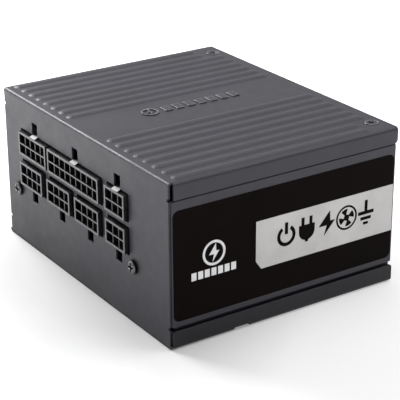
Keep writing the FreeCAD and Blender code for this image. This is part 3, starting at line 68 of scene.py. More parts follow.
class Material:
    """A small builder for one procedural material. Lengths are in millimetres."""

    def __init__(self, name):
        self.data = bpy.data.materials.new(name)
        self.data.use_nodes = True
        self.tree = self.data.node_tree
        self.tree.nodes.clear()
        output = self.add("OutputMaterial")
        self.shader = self.add("BsdfPrincipled")
        self.join(self.shader.outputs["BSDF"], output.inputs["Surface"])
        self.place = self.add("TexCoord").outputs["Object"]

    def add(self, kind, **settings):
        made = self.tree.nodes.new("ShaderNode" + kind)
        for key, value in settings.items():
            setattr(made, key, value)
        return made

    def join(self, start, end):
        self.tree.links.new(start, end)

    def stretched(self, scale):
        turned = self.add("Mapping")
        turned.inputs["Scale"].default_value = scale
        self.join(self.place, turned.inputs["Vector"])
        return turned.outputs[0]

    def noise(self, size, detail=3.0, rough=0.55, stretch=None):
        """Cloudy spots of about the given size, drawn out along an axis if stretched."""
        made = self.add("TexNoise")
        self.join(self.stretched(stretch) if stretch else self.place, made.inputs["Vector"])
        made.inputs["Scale"].default_value = 1 / (size * MM)
        made.inputs["Detail"].default_value = detail
        made.inputs["Roughness"].default_value = rough
        return made.outputs[0]

    def cells(self, size, feature="F1"):
        """The distance from cell centres, or from the borders between cells."""
        made = self.add("TexVoronoi", feature=feature)
        self.join(self.place, made.inputs["Vector"])
        made.inputs["Scale"].default_value = 1 / (size * MM)
        return made.outputs[0]

    def waves(self, size, axis, distortion):
        """Smooth bands of the given spacing, one after another along an axis."""
        made = self.add("TexWave", wave_type="BANDS", bands_direction=axis)
        self.join(self.place, made.inputs["Vector"])
        made.inputs["Scale"].default_value = math.pi / 10 / (size * MM)
        made.inputs["Distortion"].default_value = distortion
        return made.outputs["Fac"]

    def along(self, axis):
        """A coordinate of the frame, in millimetres."""
        parts = self.add("SeparateXYZ")
        self.join(self.place, parts.inputs[0])
        return self.sum(parts.outputs[axis], 1 / MM, "MULTIPLY")

    def remap(self, value, low, high, to_low=0.0, to_high=1.0):
        """The value from low to high, spread over another range and held at its ends."""
        made = self.add("MapRange", clamp=True)
        self.join(value, made.inputs["Value"])
        ends = zip(("From Min", "From Max", "To Min", "To Max"), (low, high, to_low, to_high))
        for key, number in ends:
            made.inputs[key].default_value = number
        return made.outputs[0]

    def sum(self, first, second, how="ADD", clamp=False):
        """Two values or numbers put together: added unless another way is named."""
        made = self.add("Math", operation=how, use_clamp=clamp)
        for slot, value in enumerate((first, second)):
            if isinstance(value, (int, float)):
                made.inputs[slot].default_value = value
            else:
                self.join(value, made.inputs[slot])
        return made.outputs[0]

    def mix(self, share, first, second):
        """One colour going over to another as the share goes from zero to one."""
        made = self.add("Mix", data_type="RGBA")
        for slot, value in ((0, share), (6, first), (7, second)):
            if isinstance(value, tuple):
                made.inputs[slot].default_value = (*value, 1)
            elif isinstance(value, (int, float)):
                made.inputs[slot].default_value = value
            else:
                self.join(value, made.inputs[slot])
        return made.outputs[2]

    def shifted(self, colour, change):
        """Another colour over a range of one coordinate: (axis, from, to, colour)."""
        if not change:
            return colour
        axis, start, end, other = change
        return self.mix(self.remap(self.along(axis), start, end), colour, other)

    def soft_edges(self, radius):
        """A surface normal that turns smoothly round each edge."""
        made = self.add("Bevel", samples=6)
        made.inputs["Radius"].default_value = radius * MM
        return made.outputs[0]

    def edge_mask(self, radius):
        """One along sharp edges and zero on open faces."""
        dot = self.add("VectorMath", operation="DOT_PRODUCT")
        self.join(self.soft_edges(radius), dot.inputs[0])
        self.join(self.add("NewGeometry").outputs["Normal"], dot.inputs[1])
        return self.remap(dot.outputs["Value"], NEARLY_FLAT, CLEARLY_TURNED)

    def bump(self, layers, radius):
        """Round the edges, then stack bump layers of (height, depth)."""
        normal = self.soft_edges(radius)
        for height, depth in layers:
            made = self.add("Bump")
            made.inputs["Strength"].default_value = 1.0
            made.inputs["Distance"].default_value = depth * MM
            self.join(height, made.inputs["Height"])
            self.join(normal, made.inputs["Normal"])
            normal = made.outputs[0]
        self.join(normal, self.shader.inputs["Normal"])

    def sockets(self, **values):
        """Set shader sockets that are the same all over, with _ for each space."""
        for key, value in values.items():
            self.shader.inputs[key.replace("_", " ")].default_value = value


def surface(name, dark, light, rough, patch=9.0, grain=0.35, depth=0.01, spread=0.06, edge=0.12,
            worn=None, edge_wear_and_highlight_share=0.5, metal=0.0, wave=0.0, fleck=0.0, tint=None, rim=None, **extra):
    """A material with mottled colour, fine grain, uneven gloss and pale edges.

    patch and grain are the sizes of the mottle and the grain, wave and depth the heights of
    the two, and edge is the radius of the rounded edges, all in millimetres. spread is how
    far the roughness varies. fleck is how much the grain shows in the colour.
    tint and rim are (axis, from, to, colour): ranges where the colour changes, to paint shade and
    highlights.
    A tint lies under the pale edges and a rim over them; the pale edges are partly wear, partly a
    painted highlight.
    """
    made = Material(name)
    large = made.noise(patch, 4.0)
    fine = made.noise(grain, 2.0, 0.6)
    # noise keeps near its middle, so it is spread out before it mixes the two colours
    share = made.remap(large, 0.32, 0.68)
    if fleck:
        share = made.sum(share, made.remap(fine, 0.35, 0.65, -fleck, fleck), clamp=True)
    colour = made.shifted(made.mix(share, dark, light), tint)
    if worn:
        # the pale edge line is partly wear and partly a painted highlight; scuffs break it up into
        # longer and shorter marks
        scuffs = made.remap(made.noise(1.3, 3.0), 0.38, 0.62, 0.15, 1.0)
        mask = made.sum(made.edge_mask(edge * 1.2), scuffs, "MULTIPLY")
        colour = made.mix(made.sum(mask, edge_wear_and_highlight_share, "MULTIPLY"), colour, worn)
    colour = made.shifted(colour, rim)
    made.join(colour, made.shader.inputs["Base Color"])
    # the sum of two noises lies about one
    uneven = made.sum(large, made.noise(grain * 9, 3.0))
    gloss = made.remap(uneven, 0.75, 1.25, rough - spread, rough + spread)
    made.join(gloss, made.shader.inputs["Roughness"])
    layers = [(fine, depth)]
    if wave:
        layers.insert(0, (large, wave))
    made.bump(layers, edge)
    made.sockets(Metallic=metal, **extra)
    return made


def circuit_board(name):
    """Solder mask with copper tracks under it and small pads."""
    made = Material(name)
    tracks = made.remap(made.cells(2.6, "DISTANCE_TO_EDGE"), 0.06, 0.1)
    pads = made.remap(made.cells(1.7), 0.12, 0.16)
    mask = made.mix(tracks, (0.018, 0.075, 0.035), (0.008, 0.042, 0.02))
    colour = made.mix(pads, (0.42, 0.4, 0.36), mask)
    made.join(colour, made.shader.inputs["Base Color"])
    made.join(made.remap(made.noise(2.0), 0.3, 0.7, 0.28, 0.42), made.shader.inputs["Roughness"])
    made.bump([(tracks, -0.02), (pads, -0.06)], 0.1)
    return made


def wound(name, dark, light, size, metal=0.0):
    """Turns of wire or tape lying side by side."""
    made = Material(name)
    turns = made.sum(made.waves(size, "X", 0.4), made.waves(size, "Y", 0.4), "MINIMUM")
    shade = made.sum(turns, made.noise(3.0), "MULTIPLY")
    made.join(made.mix(made.remap(shade, 0.1, 0.5), dark, light), made.shader.inputs["Base Color"])
    made.join(made.remap(made.noise(1.2), 0.3, 0.7, 0.25, 0.42), made.shader.inputs["Roughness"])
    made.bump([(turns, 0.12)], 0.1)
    made.sockets(Metallic=metal)
    return made


def brushed(name, dark, light, rough, streak=(1, 1, 14)):
    """Drawn or rolled bare metal with fine streaks."""
    made = Material(name)
    streaks = made.noise(1.6, 4.0, 0.6, stretch=streak)
    large = made.noise(6.0, 3.0)
    made.join(made.mix(made.remap(streaks, 0.3, 0.7), dark, light), made.shader.inputs["Base Color"])
    gloss = made.remap(made.sum(streaks, large), 0.7, 1.3, rough - 0.08, rough + 0.1)
    made.join(gloss, made.shader.inputs["Roughness"])
    made.bump([(streaks, 0.012)], 0.12)
    made.sockets(Metallic=1.0)
    return made


# the paint's two tones, a darker tone near the base that paints shade there, and a pale colour on the
# sockets' front faces that paints a highlight
COAT_DARK = (0.0238, 0.0232, 0.0325)
COAT_LIGHT = (0.0313, 0.0305, 0.0418)
COAT_PAINTED_SHADE = (0.0165, 0.0159, 0.0242)
SOCKET_FACE_PAINTED_HIGHLIGHT = (0.105, 0.105, 0.11)


def coat(name, shade=1.0, coat_wear_and_highlight=0.35, **settings):
    """The fine textured grey paint of the case. A shade below one makes a darker copy, which is painted
    shade; its edges pale with wear and a painted highlight.
    """
    dark = tuple(c * shade for c in COAT_DARK)
    light = tuple(c * shade for c in COAT_LIGHT)
    return surface(name, dark, light, 0.44, patch=14, grain=0.42, depth=0.014, spread=0.05, edge=0.3,
                   worn=(0.085, 0.088, 0.098), edge_wear_and_highlight_share=coat_wear_and_highlight, wave=0.02, fleck=0.2, **settings)


def label_black(name, **settings):
    """A near-black print that hardly shines."""
    return surface(name, (0.0036, 0.0022, 0.0019), (0.0048, 0.003, 0.0026), 0.4, depth=0.004,
                   Specular_IOR_Level=0.025, **settings)


def black_plastic(name, rough, **settings):
    """Moulded black plastic, a little paler along its edges: partly wear, partly a painted highlight."""
    return surface(name, (0.006, 0.006, 0.007), (0.011, 0.011, 0.0125), rough,
                   worn=(0.05, 0.05, 0.055), **settings)


def case_looks():
    """Paint, label film and screws."""
    return {
        # the paint darkens towards the base, from 25 mm down to 8 mm: painted shade
        "powder_coat": coat("powder_coat_look", tint=("Z", 25.0, 8.0, COAT_PAINTED_SHADE),
                            Specular_IOR_Level=0.42),
        "label_film": label_black("label_film_look", patch=20, grain=0.9, edge=0.1,
                                  worn=(0.02, 0.02, 0.021), wave=0.01),
        # the black screws' pale edges paint glints round their heads
        "black_screw": surface("black_screw_look", (0.045, 0.045, 0.05), (0.075, 0.075, 0.082), 0.36,
                               patch=2.5, grain=0.25, depth=0.01, edge=0.18,
                               worn=(0.35, 0.35, 0.37), metal=0.7),
        # the side of each panel screw head is painted near black: painted shade
        "bright_screw": surface("bright_screw_look", (0.12, 0.12, 0.128), (0.2, 0.2, 0.21), 0.36,
                                patch=2.0, grain=0.3, depth=0.012, edge=0.2,
                                worn=(0.5, 0.5, 0.52), metal=0.9,
                                rim=("Y", -51.15, -51.0, (0.008, 0.008, 0.009))),
    }


def plastic_looks():
    """Sockets, inlet, switch and fan."""
    return {
        # the sockets' front faces are painted pale grey: a painted highlight on the black plastic
        "socket_plastic": black_plastic("socket_plastic_look", 0.3, patch=5, grain=0.3, depth=0.006,
                                        edge=0.1, rim=("Y", -51.45, -51.65, SOCKET_FACE_PAINTED_HIGHLIGHT)),
        "inlet_plastic": black_plastic("inlet_plastic_look", 0.38, patch=7, grain=0.3, depth=0.012,
                                       edge=0.18),
        "rocker_plastic": black_plastic("rocker_plastic_look", 0.26, patch=5, grain=0.4, depth=0.006,
                                        edge=0.2),
        "fan_plastic": surface("fan_plastic_look", (0.008, 0.008, 0.009), (0.014, 0.014, 0.016), 0.4,
                               patch=10, grain=0.35, depth=0.012, edge=0.15,
                               worn=(0.05, 0.05, 0.055)),
        "chip_plastic": surface("chip_plastic_look", (0.014, 0.014, 0.014), (0.024, 0.024, 0.024),
                                0.55, patch=3, grain=0.2, depth=0.02),
    }


def metal_looks():
    """Terminals, guard, bearing, windings, cores and heatsinks."""
    return {
        "terminal_metal": brushed("terminal_metal_look", (0.42, 0.36, 0.22), (0.68, 0.6, 0.4), 0.3),
        "guard_wire": surface("guard_wire_look", (0.012, 0.012, 0.013), (0.022, 0.022, 0.024), 0.3,
                              patch=5, grain=0.5, depth=0.01, edge=0.1, worn=(0.2, 0.2, 0.21),
                              edge_wear_and_highlight_share=0.2, metal=0.3),
        "bearing_brass": brushed("bearing_brass_look", (0.48, 0.34, 0.14), (0.66, 0.5, 0.24), 0.3),
        "ground_steel": brushed("ground_steel_look", (0.4, 0.4, 0.41), (0.6, 0.6, 0.61), 0.26),
        "magnet": surface("magnet_look", (0.03, 0.03, 0.03), (0.055, 0.053, 0.05), 0.6, patch=3,
                          depth=0.02),
        "copper": wound("copper_look", (0.25, 0.07, 0.025), (0.72, 0.29, 0.13), 0.8, metal=0.9),
        "ferrite": surface("ferrite_look", (0.02, 0.02, 0.021), (0.045, 0.045, 0.047), 0.62, patch=3,
                           grain=0.25, depth=0.03, edge=0.2, worn=(0.09, 0.09, 0.09)),
        "heatsink": brushed("heatsink_look", (0.3, 0.3, 0.31), (0.5, 0.5, 0.51), 0.42,
                            streak=(12, 1, 1)),
    }


def electric_looks():
    """Boards, capacitors, tape, film and wires."""
    return {
        "circuit_board": circuit_board("circuit_board_look"),
        "winding_tape": wound("winding_tape_look", (0.5, 0.33, 0.04), (0.75, 0.55, 0.09), 3.0),
        "film_capacitor": surface("film_capacitor_look", (0.45, 0.27, 0.03), (0.62, 0.4, 0.06), 0.35,
                                  patch=6, depth=0.015),
        "disc_capacitor": surface("disc_capacitor_look", (0.02, 0.09, 0.25), (0.04, 0.15, 0.36), 0.4,
                                  patch=3, depth=0.03),
        "capacitor_sleeve": surface("capacitor_sleeve_look", (0.012, 0.012, 0.014),
                                    (0.025, 0.024, 0.03), 0.3, patch=8, depth=0.01),
        "insulation_film": surface("insulation_film_look", (0.6, 0.58, 0.5), (0.72, 0.7, 0.62), 0.4,
                                   patch=15, depth=0.01),
        "wire_sleeve": surface("wire_sleeve_look", (0.01, 0.01, 0.011), (0.02, 0.02, 0.022), 0.42,
                               patch=4, depth=0.015),
        "earth_sleeve": surface("earth_sleeve_look", (0.05, 0.26, 0.03), (0.1, 0.4, 0.05), 0.42,
                                patch=4, depth=0.015),
    }


looks = {**case_looks(), **plastic_looks(), **metal_looks(), **electric_looks()}
# the bottom cover gets a darker copy of the paint, which is painted shade, with its edges fully pale as
# a painted highlight
base_coat_painted_shade = coat("base_coat_painted_shade_look", shade=0.34, coat_wear_and_highlight=1.0, Specular_IOR_Level=0.3)
for name, node in nodes.items():
    for entry in node.material_slots:
        slot = entry.material.name.split(".")[0]
        entry.material = base_coat_painted_shade.data if name == "bottom_cover" else looks[slot].data


# --------------------------------------------------------------- flat artwork

def arc(centre, radius, start, end, count):
    """Points along an arc; angles in degrees."""
    points = []
    for step in range(count + 1):
        angle = math.radians(start + (end - start) * step / count)
        points.append((centre[0] + radius * math.cos(angle), centre[1] + radius * math.sin(angle)))
    return points


def arc_band(centre, inner, outer, start=0, end=360, count=48):
    """A bent strip as four-sided patches."""
    near = arc(centre, inner, start, end, count)
    far = arc(centre, outer, start, end, count)
    return [[near[i], far[i], far[i + 1], near[i + 1]] for i in range(count)]


def slab(x0, y0, x1, y1):
    """One upright rectangle."""
    return [[(x0, y0), (x1, y0), (x1, y1), (x0, y1)]]


def stroke(points, width):
    """A line of one width with square ends, mitred at its corners."""
    left, right = [], []
    for i, point in enumerate(points):
        here = Vector(point)
        before = Vector(points[i - 1]) if i else None
        after = Vector(points[i + 1]) if i + 1 < len(points) else None
        ways = []
        if before is not None:
            ways.append((here - before).normalized())
        if after is not None:
            ways.append((after - here).normalized())
        way = sum(ways, Vector((0, 0))).normalized()
        side = Vector((-way.y, way.x))
        reach = width / 2 / max(0.35, side.dot(Vector((-ways[0].y, ways[0].x))))
        left.append(tuple(here + side * reach))
        right.append(tuple(here - side * reach))
    return [[right[i], right[i + 1], left[i + 1], left[i]] for i in range(len(points) - 1)]


def moved(shapes, dx, dy, scale=1.0):
    """Outlines scaled about the origin and then shifted."""
    return [[(x * scale + dx, y * scale + dy) for x, y in shape] for shape in shapes]


def bolt(width, height):
    """A lightning flash centred on the origin, as two pointed halves."""
    w, h = width / 2, height / 2
    return [
        [(0.35 * w, h), (-w, -0.16 * h), (-0.02 * w, -0.16 * h), (0.42 * w, 0.16 * h)],
        [(-0.35 * w, -h), (w, 0.16 * h), (0.42 * w, 0.16 * h), (-0.02 * w, -0.16 * h)],
    ]


def solid_art(name, shapes, level, thick, body, look, to_world):
    """Thin closed plates from flat outlines, raised from a face by their thickness."""
    mesh = bmesh.new()
    for shape in shapes:
        base = [mesh.verts.new(to_world(x, y, level)) for x, y in shape]
        top = [mesh.verts.new(to_world(x, y, level + thick)) for x, y in shape]
        count = len(shape)
        mesh.faces.new(top)
        mesh.faces.new(base[::-1])
        for i in range(count):
            after = (i + 1) % count
            mesh.faces.new((base[i], base[after], top[after], top[i]))
    bmesh.ops.recalc_face_normals(mesh, faces=mesh.faces)
    return add_piece(name, mesh, body, look)


def add_piece(name, mesh, body, look):
    """Make a piece of a finished mesh, and let it ride on its body."""
    data = bpy.data.meshes.new(name)
    mesh.to_mesh(data)
    mesh.free()
    piece = bpy.data.objects.new(name, data)
    bpy.context.scene.collection.objects.link(piece)
    data.materials.append(look.data)
    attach(piece, body)
    return piece


# The thickness of a print and of the top's raised mark, and the faces that prints lie on,
# in millimetres.
INK_THICK = 0.03
MARK_THICK = 0.42
LABEL_FACE = highest("right_label", "X")
PANEL_FACE = -lowest("top_cover", "Y")
HUB_FACE = lowest("fan_rotor", "Z")
GUARD_FACE = 0.45

# The top plate lies under the tops of its ribs, and raised work is sunk into it a little.
RIB_HEIGHT = 0.5
SUNK = 0.02
PLATE_TOP = highest("top_cover", "Z") - RIB_HEIGHT - SUNK

# The rocker's face is two flat halves that rise from its middle, and it rests tilted.
switch_joint = next(joint for joint in frame["joints"] if joint["name"] == "power_switch")
ROCKER_TILT = 10.0
ROCKER_DIP = 2.189
ROCKER_SLOPE = 0.1675


def on_right(across, up, out):
    """Label artwork on the +X side, read with +Z up; across grows towards +Y."""
    return (out * MM, across * MM, up * MM)


def on_left(across, up, out):
    """Label artwork on the -X side; across grows towards -Y as it is read."""
    return (-out * MM, -across * MM, up * MM)


def on_top(across, up, out):
    """Artwork on the ribbed plate, read from the +X side."""
    return (-up * MM, across * MM, out * MM)


def on_guard(across, up, out):
    """Artwork under the guard's centre disc, read from below."""
    return (across * MM, -up * MM, (GUARD_FACE - out) * MM)


def on_hub(across, up, out):
    """Artwork on the fan hub's lower face, read from below."""
    return (across * MM, -up * MM, (HUB_FACE - out) * MM)


def on_rocker(across, up, out):
    """Artwork on the rocker's two faces, turned with it about its pivot."""
    tilt = math.radians(ROCKER_TILT)
    deep = ROCKER_DIP + ROCKER_SLOPE * abs(up) + out
    y = deep * math.cos(tilt) - up * math.sin(tilt)
    z = deep * math.sin(tilt) + up * math.cos(tilt)
    pivot = switch_joint["pos_m"]
    return (pivot[0] + across * MM, pivot[1] + y * MM, pivot[2] + z * MM)


def on_panel(across, up, out):
    """Flat work on the socket panel, read from in front."""
    return (across * MM, (-PANEL_FACE - out) * MM, up * MM)


def on_plate(across, up, out):
    """Flat work on the top plate, across along +X and up along +Y."""
    return (across * MM, up * MM, out * MM)


# Symbols, each inside a box about 8 wide and 9.8 tall, centred on the origin.

def power_symbol():
    """An open ring with a bar in its gap."""
    return arc_band((0, -0.3), 2.7, 4.1, 122, 418, 40) + slab(-0.72, 0.3, 0.72, 4.9)


def plug_symbol():
    """A two-pin plug seen from the side."""
    body = [[(-3.6, -0.6), (3.6, -0.6), (3.6, 1.9), (-3.6, 1.9)]]
    cup = [arc((0, -0.6), 3.6, 180, 360, 20)]
    prongs = slab(-2.5, 1.9, -1.1, 4.9) + slab(1.1, 1.9, 2.5, 4.9)
    return body + cup + prongs + slab(-0.75, -4.9, 0.75, -4.1)


def wave_symbol():
    """One period of a sine, for alternating current."""
    points = [(3.9 * (step / 16 - 1), 2.6 * math.sin(math.pi * step / 16)) for step in range(33)]
    return stroke(points, 1.5)


def fan_symbol():
    """Four blades and a hub in a ring."""
    shapes = arc_band((0, 0), 0.0001, 1.25, 0, 360, 20)
    shapes += arc_band((0, 0), 4.1, 4.9)
    for turn in range(4):
        tip = arc((0, 0), 3.5, 90 * turn - 8, 90 * turn + 44, 8)
        root = arc((0, 0), 1.2, 90 * turn + 44, 90 * turn + 12, 3)
        shapes.append(tip + root)
    return shapes


def earth_symbol():
    """A stem over three bars that get shorter."""
    return (slab(-0.7, 0.6, 0.7, 4.9) + slab(-3.7, -0.8, 3.7, 0.6)
            + slab(-2.5, -3.0, 2.5, -1.7) + slab(-1.2, -4.9, 1.2, -3.8))


def direct_symbol():
    """A bar over three dashes, for direct current."""
    dashes = []
    for n in range(3):
        dashes += slab(-3.9 + 3.0 * n, -1.9, -2.1 + 3.0 * n, -0.6)
    return slab(-3.9, 0.6, 3.9, 1.9) + dashes


def emblem():
    """A ring with a flash through it."""
    return arc_band((0, 0), 3.9, 4.9, 0, 360, 56) + bolt(4.4, 7.2)


def blocks(x0, x1, y0, y1, count, gap):
    """A row of equal plain blocks."""
    wide = (x1 - x0 - gap * (count - 1)) / count
    shapes = []
    for n in range(count):
        shapes += slab(x0 + n * (wide + gap), y0, x0 + n * (wide + gap) + wide, y1)
    return shapes


band_look = surface("label_band_look", (0.49, 0.48, 0.475), (0.57, 0.56, 0.555), 0.36, patch=11,
                    grain=0.5, depth=0.004, edge=0.05, fleck=0.15, metal=0.15)
white_ink = surface("white_ink_look", (0.66, 0.66, 0.67), (0.8, 0.8, 0.81), 0.42, patch=5, grain=0.4,
                    depth=0.004, edge=0.05, fleck=0.2)
grey_ink = surface("grey_ink_look", (0.2, 0.2, 0.205), (0.28, 0.28, 0.285), 0.42, patch=5, grain=0.4,
                   depth=0.004, edge=0.05)
black_ink = label_black("black_ink_look", patch=5, grain=0.4, edge=0.05)
# pale metal for the rings round the top screws: a painted highlight
screw_ring_painted_highlight_look = surface("screw_ring_painted_highlight_look", (0.22, 0.22, 0.23), (0.32, 0.32, 0.33), 0.3, patch=2.5, grain=0.25,
                   depth=0.006, edge=0.1, worn=(0.4, 0.4, 0.42), metal=0.8)
# the raised mark's edges are fully pale: painted glints
mark_painted_glint_look = surface("mark_painted_glint_look", COAT_DARK, COAT_LIGHT, 0.4, patch=6, grain=0.42, depth=0.01,
                    edge=0.5, worn=(0.34, 0.34, 0.355), edge_wear_and_highlight_share=1.0, fleck=0.2)


def label_art(name, shapes, look, side, layer=0):
    """A print on a side label; layer 1 lies on top of layer 0."""
    level = LABEL_FACE + layer * INK_THICK
    return solid_art(name, shapes, level, INK_THICK, "housing", look, side)


def right_artwork():
    """A badge in front, and a light band with five signs that runs to the rear edge."""
    low, high, rear = 21.6, 40.5, 49.0
    band = [(-11.6, low), (rear, low), (rear, high), (-14.0, high), (-14.0, 25.0)]
    label_art("label_band", [band], band_look, on_right)

    signs = (power_symbol(), plug_symbol(), bolt(7.6, 9.8), fan_symbol(), earth_symbol())
    first, spacing, middle = -0.6, 9.2, 32.1
    marks = []
    for n, shapes in enumerate(signs):
        marks += moved(shapes, first + spacing * n, middle)
    label_art("label_band_marks", marks, black_ink, on_right, layer=1)

    badge = moved(emblem(), -31.9, 33.3, 0.98) + blocks(-41.4, -22.6, 24.6, 27.6, 7, 0.7)
    label_art("label_badge", badge, white_ink, on_right)


def left_artwork():
    """A rating plate: an empty table, plain symbols and a row of bars."""
    x0, x1 = -44.0, 16.0
    y0, y1 = 17.0, 36.0
    rows, columns = 5, 6
    tall = (y1 - y0) / rows
    wide = (x1 - x0) / columns
    half = 0.125

    lines = []
    for n in range(rows + 1):
        lines += slab(x0, y0 + tall * n - half, x1, y0 + tall * n + half)
    for n in range(columns + 1):
        lines += slab(x0 + wide * n - half, y0, x0 + wide * n + half, y1)
    lines += slab(x0, 13.6, x1, 14.2)
    heads = (plug_symbol(), wave_symbol(), direct_symbol(), power_symbol(), fan_symbol(), earth_symbol())
    for n, shapes in enumerate(heads):
        lines += moved(shapes, x0 + wide * (n + 0.5), y1 - tall / 2, 0.3)
    label_art("rating_table", lines, grey_ink, on_left)

    bars = []
    for row in range(rows - 1):
        for column in range(columns):
            across = x0 + wide * column + 2.6
            level = y0 + tall * row + 1.4
            length = 4.8 - 1.1 * ((row + column) % 3)
            bars += slab(across, level, across + length, level + 0.9)
    label_art("rating_bars", bars, grey_ink, on_left)

    badge = moved(emblem(), 31.5, 38.0, 1.15) + blocks(21.5, 41.5, 27.4, 29.4, 7, 0.7)
    foot, small = 18.0, 0.55
    badge += moved(earth_symbol(), 24.0, foot, small) + moved(power_symbol(), 31.5, foot, small)
    badge += moved(bolt(5.2, 9.0), 39.0, foot, 0.6)
    label_art("rating_badge", badge, white_ink, on_left)

    label_art("rating_header", slab(x0, 39.5, x1, 48.5), band_look, on_left)
    signs = (power_symbol(), plug_symbol(), wave_symbol(), bolt(7.6, 9.8), direct_symbol(), fan_symbol())
    first, spacing, middle = -38.0, 9.6, 44.0
    marks = []
    for n, shapes in enumerate(signs):
        marks += moved(shapes, first + spacing * n, middle, 0.62)
    label_art("rating_header_marks", marks, black_ink, on_left, layer=1)


def top_artwork():
    """The raised mark in the middle of the plate."""
    shapes = moved(emblem(), -17.4, 2.75, 0.7) + blocks(-11.6, 22.4, 0.4, 5.1, 7, 1.9)
    solid_art("top_mark", shapes, PLATE_TOP, MARK_THICK, "housing", mark_painted_glint_look, on_top)


def screw_rings(node, radius, inner, outer, level_axis):
    """A ring round each of a node's two screws, which lie side by side along X.

    radius is that of the screw heads, inner and outer are those of the ring.
    """
    level = (lowest(node, level_axis) + highest(node, level_axis)) / 2
    rings = []
    for across in (lowest(node, "X") + radius, highest(node, "X") - radius):
        rings += arc_band((across, level), inner, outer, 0, 360, 40)
    return rings


def screw_trim():
    """Thin dark rings under the edges of the panel screw heads, and pale metal rings on the top screws
    that paint a highlight round their heads.
    """
    dark_rings = screw_rings("panel_screws", radius=2.7, inner=2.6, outer=3.2, level_axis="Z")
    solid_art("panel_screw_dark_rings", dark_rings, 0, 0.12, "housing", looks["chip_plastic"], on_panel)
    painted_highlight_rings = screw_rings("top_cover_screws", radius=2.75, inner=2.25, outer=2.7, level_axis="Y")
    solid_art("top_screw_painted_highlight_rings", painted_highlight_rings, PLATE_TOP, 0.1, "housing", screw_ring_painted_highlight_look, on_plate)


def switch_artwork():
    """The two plain switch marks: a ring on the pressed half, a bar on the other."""
    ring = moved(arc_band((0, 0), 1.35, 1.95, 0, 360, 32), 0, 4.6)
    bar = slab(-0.32, -6.5, 0.32, -2.9)
    solid_art("rocker_marks", ring + bar, 0, INK_THICK, "rocker", white_ink, on_rocker)


def fan_artwork():
    """A badge on the guard's disc, and a sticker on the hub with a ring and eight flashes."""
    badge = moved(emblem(), 0, 0, 1.3)
    solid_art("guard_badge", badge, 0, 0.08, "housing", grey_ink, on_guard)

    film = 0.05
    sticker, ring, flashes = 13.0, 12.1, 10.3
    disc = [arc((0, 0), sticker, 0, 355, 71)]
    solid_art("hub_sticker", disc, 0, film, "fan_wheel", looks["label_film"], on_hub)
    marks = arc_band((0, 0), ring, ring + 0.3, 0, 360, 72)
    for x, y in arc((0, 0), flashes, 0, 315, 7):
        marks += moved(bolt(1.3, 2.2), x, y)
    solid_art("hub_sticker_marks", marks, film, INK_THICK, "fan_wheel", grey_ink, on_hub)


right_artwork()
left_artwork()
top_artwork()
screw_trim()
switch_artwork()
fan_artwork()


# --------------------------------------------------------------------- stage

def studio_floor():
    """Pale paper just under the case, brighter further away from it."""
    mesh = bmesh.new()
    reach = 3.0
    lift = -0.0002
    ring = ((-1, -1), (1, -1), (1, 1), (-1, 1))
    mesh.faces.new([mesh.verts.new((x * reach, y * reach, lift)) for x, y in ring])
    data = bpy.data.meshes.new("studio_floor")
    mesh.to_mesh(data)
    mesh.free()
    floor = bpy.data.objects.new("studio_floor", data)
    bpy.context.scene.collection.objects.link(floor)
    paper = Material("studio_paper")
    shade = paper.mix(paper.noise(40.0), (0.78, 0.78, 0.78), (0.82, 0.82, 0.82))
    paper.join(shade, paper.shader.inputs["Base Color"])
    away = paper.add("VectorMath", operation="LENGTH")
    paper.join(paper.place, away.inputs[0])
    # one glow grows with the distance from the case, the other towards its +X +Y corner
    far_glow = paper.remap(away.outputs["Value"], 0.07, 0.22, 0.0, 0.7)
    aside = paper.sum(paper.along("X"), paper.sum(paper.along("Y"), 0.8, "MULTIPLY"))
    side_glow = paper.remap(aside, 0.0, 75.0, 0.0, 0.36)
    paper.join(paper.sum(far_glow, side_glow, "MAXIMUM"), paper.shader.inputs["Emission Strength"])
    paper.sockets(Roughness=0.9, Specular_IOR_Level=0.1, Emission_Color=(1, 1, 1, 1))
    data.materials.append(paper.data)


def outward(azimuth, elevation):
    """The direction from the object towards a place round it; azimuth 0 is before the sockets."""
    flat = math.cos(elevation)
    return Vector((math.sin(azimuth) * flat, -math.cos(azimuth) * flat, math.sin(elevation)))


def studio_light(name, azimuth, elevation, distance, wide, tall, radiance):
    """A soft box aimed at the middle of the case; angles in degrees."""
    data = bpy.data.lights.new(name, "AREA")
    data.shape = "RECTANGLE"
    data.size = wide
    data.size_y = tall
    data.energy = radiance * math.pi * wide * tall
    lamp = bpy.data.objects.new(name, data)
    lamp.visible_camera = False
    back = outward(math.radians(azimuth), math.radians(elevation))
    lamp.location = Vector((0, 0, 0.03)) + back * distance
    lamp.rotation_mode = "QUATERNION"
    lamp.rotation_quaternion = (-back).to_track_quat("-Z", "Y")
    bpy.context.scene.collection.objects.link(lamp)


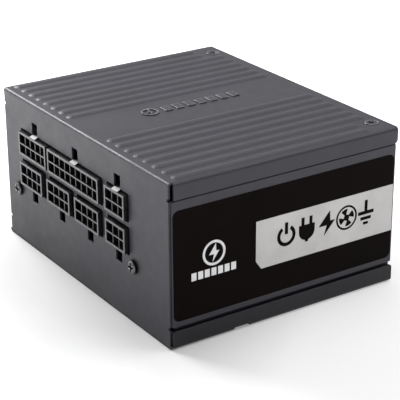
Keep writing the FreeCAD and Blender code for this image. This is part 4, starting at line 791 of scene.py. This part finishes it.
def studio_world(level, horizon):
    """Even light from above, and a white backdrop near the horizon."""
    world = bpy.data.worlds.new("studio")
    world.use_nodes = True
    tree = world.node_tree
    shade = tree.nodes["Background"]
    shade.inputs["Color"].default_value = (1, 1, 1, 1)
    way = tree.nodes.new("ShaderNodeTexCoord")
    parts = tree.nodes.new("ShaderNodeSeparateXYZ")
    # the backdrop fades out between these heights of the direction that is looked in
    ramp = tree.nodes.new("ShaderNodeMapRange")
    tree.links.new(way.outputs["Generated"], parts.inputs[0])
    tree.links.new(parts.outputs["Z"], ramp.inputs["Value"])
    for key, number in (("From Min", 0.06), ("From Max", 0.24), ("To Min", horizon), ("To Max", level)):
        ramp.inputs[key].default_value = number
    tree.links.new(ramp.outputs[0], shade.inputs["Strength"])
    bpy.context.scene.world = world


def studio_camera():
    """A view on the socket panel, the banded label and the top."""
    azimuth, elevation, roll = (math.radians(angle) for angle in CAMERA_TURN)
    back = outward(azimuth, elevation)
    level = Vector((math.cos(azimuth), math.sin(azimuth), 0))
    upright = back.cross(level)
    right = math.cos(roll) * level + math.sin(roll) * upright
    up = math.cos(roll) * upright - math.sin(roll) * level
    data = bpy.data.cameras.new("camera")
    data.sensor_width = 36.0
    data.lens = CAMERA_LENS
    data.clip_start = 0.02
    data.clip_end = 20.0
    camera = bpy.data.objects.new("camera", data)
    turn = Matrix((right, up, back)).transposed().to_4x4()
    camera.matrix_world = Matrix.Translation(CAMERA_PLACE) @ turn
    bpy.context.scene.collection.objects.link(camera)
    bpy.context.scene.camera = camera


# azimuth, elevation and roll in degrees, place in metres, focal length in millimetres
CAMERA_TURN = (56.667, 22.974, -0.327)
CAMERA_PLACE = (0.439707, -0.285926, 0.246072)
CAMERA_LENS = 129.71

# name, azimuth, elevation, distance, width, height and radiance of each soft box
SOFT_BOXES = (
    ("key", -74, 35, 0.5, 0.34, 0.24, 12.6),
    ("overhead", 0, 89, 1.2, 1.2, 1.2, 0.63),
    ("back", -124, 24, 0.42, 0.26, 0.13, 0.22),
    ("ribs", -146, 50, 0.9, 0.8, 0.6, 0.75),
    ("edge", 152, 54, 0.8, 0.5, 0.36, 3.0),
)

bpy.context.scene.view_settings.view_transform = "Standard"
studio_floor()
studio_world(level=0.32, horizon=1.0)
for soft_box in SOFT_BOXES:
    studio_light(*soft_box)
studio_camera()
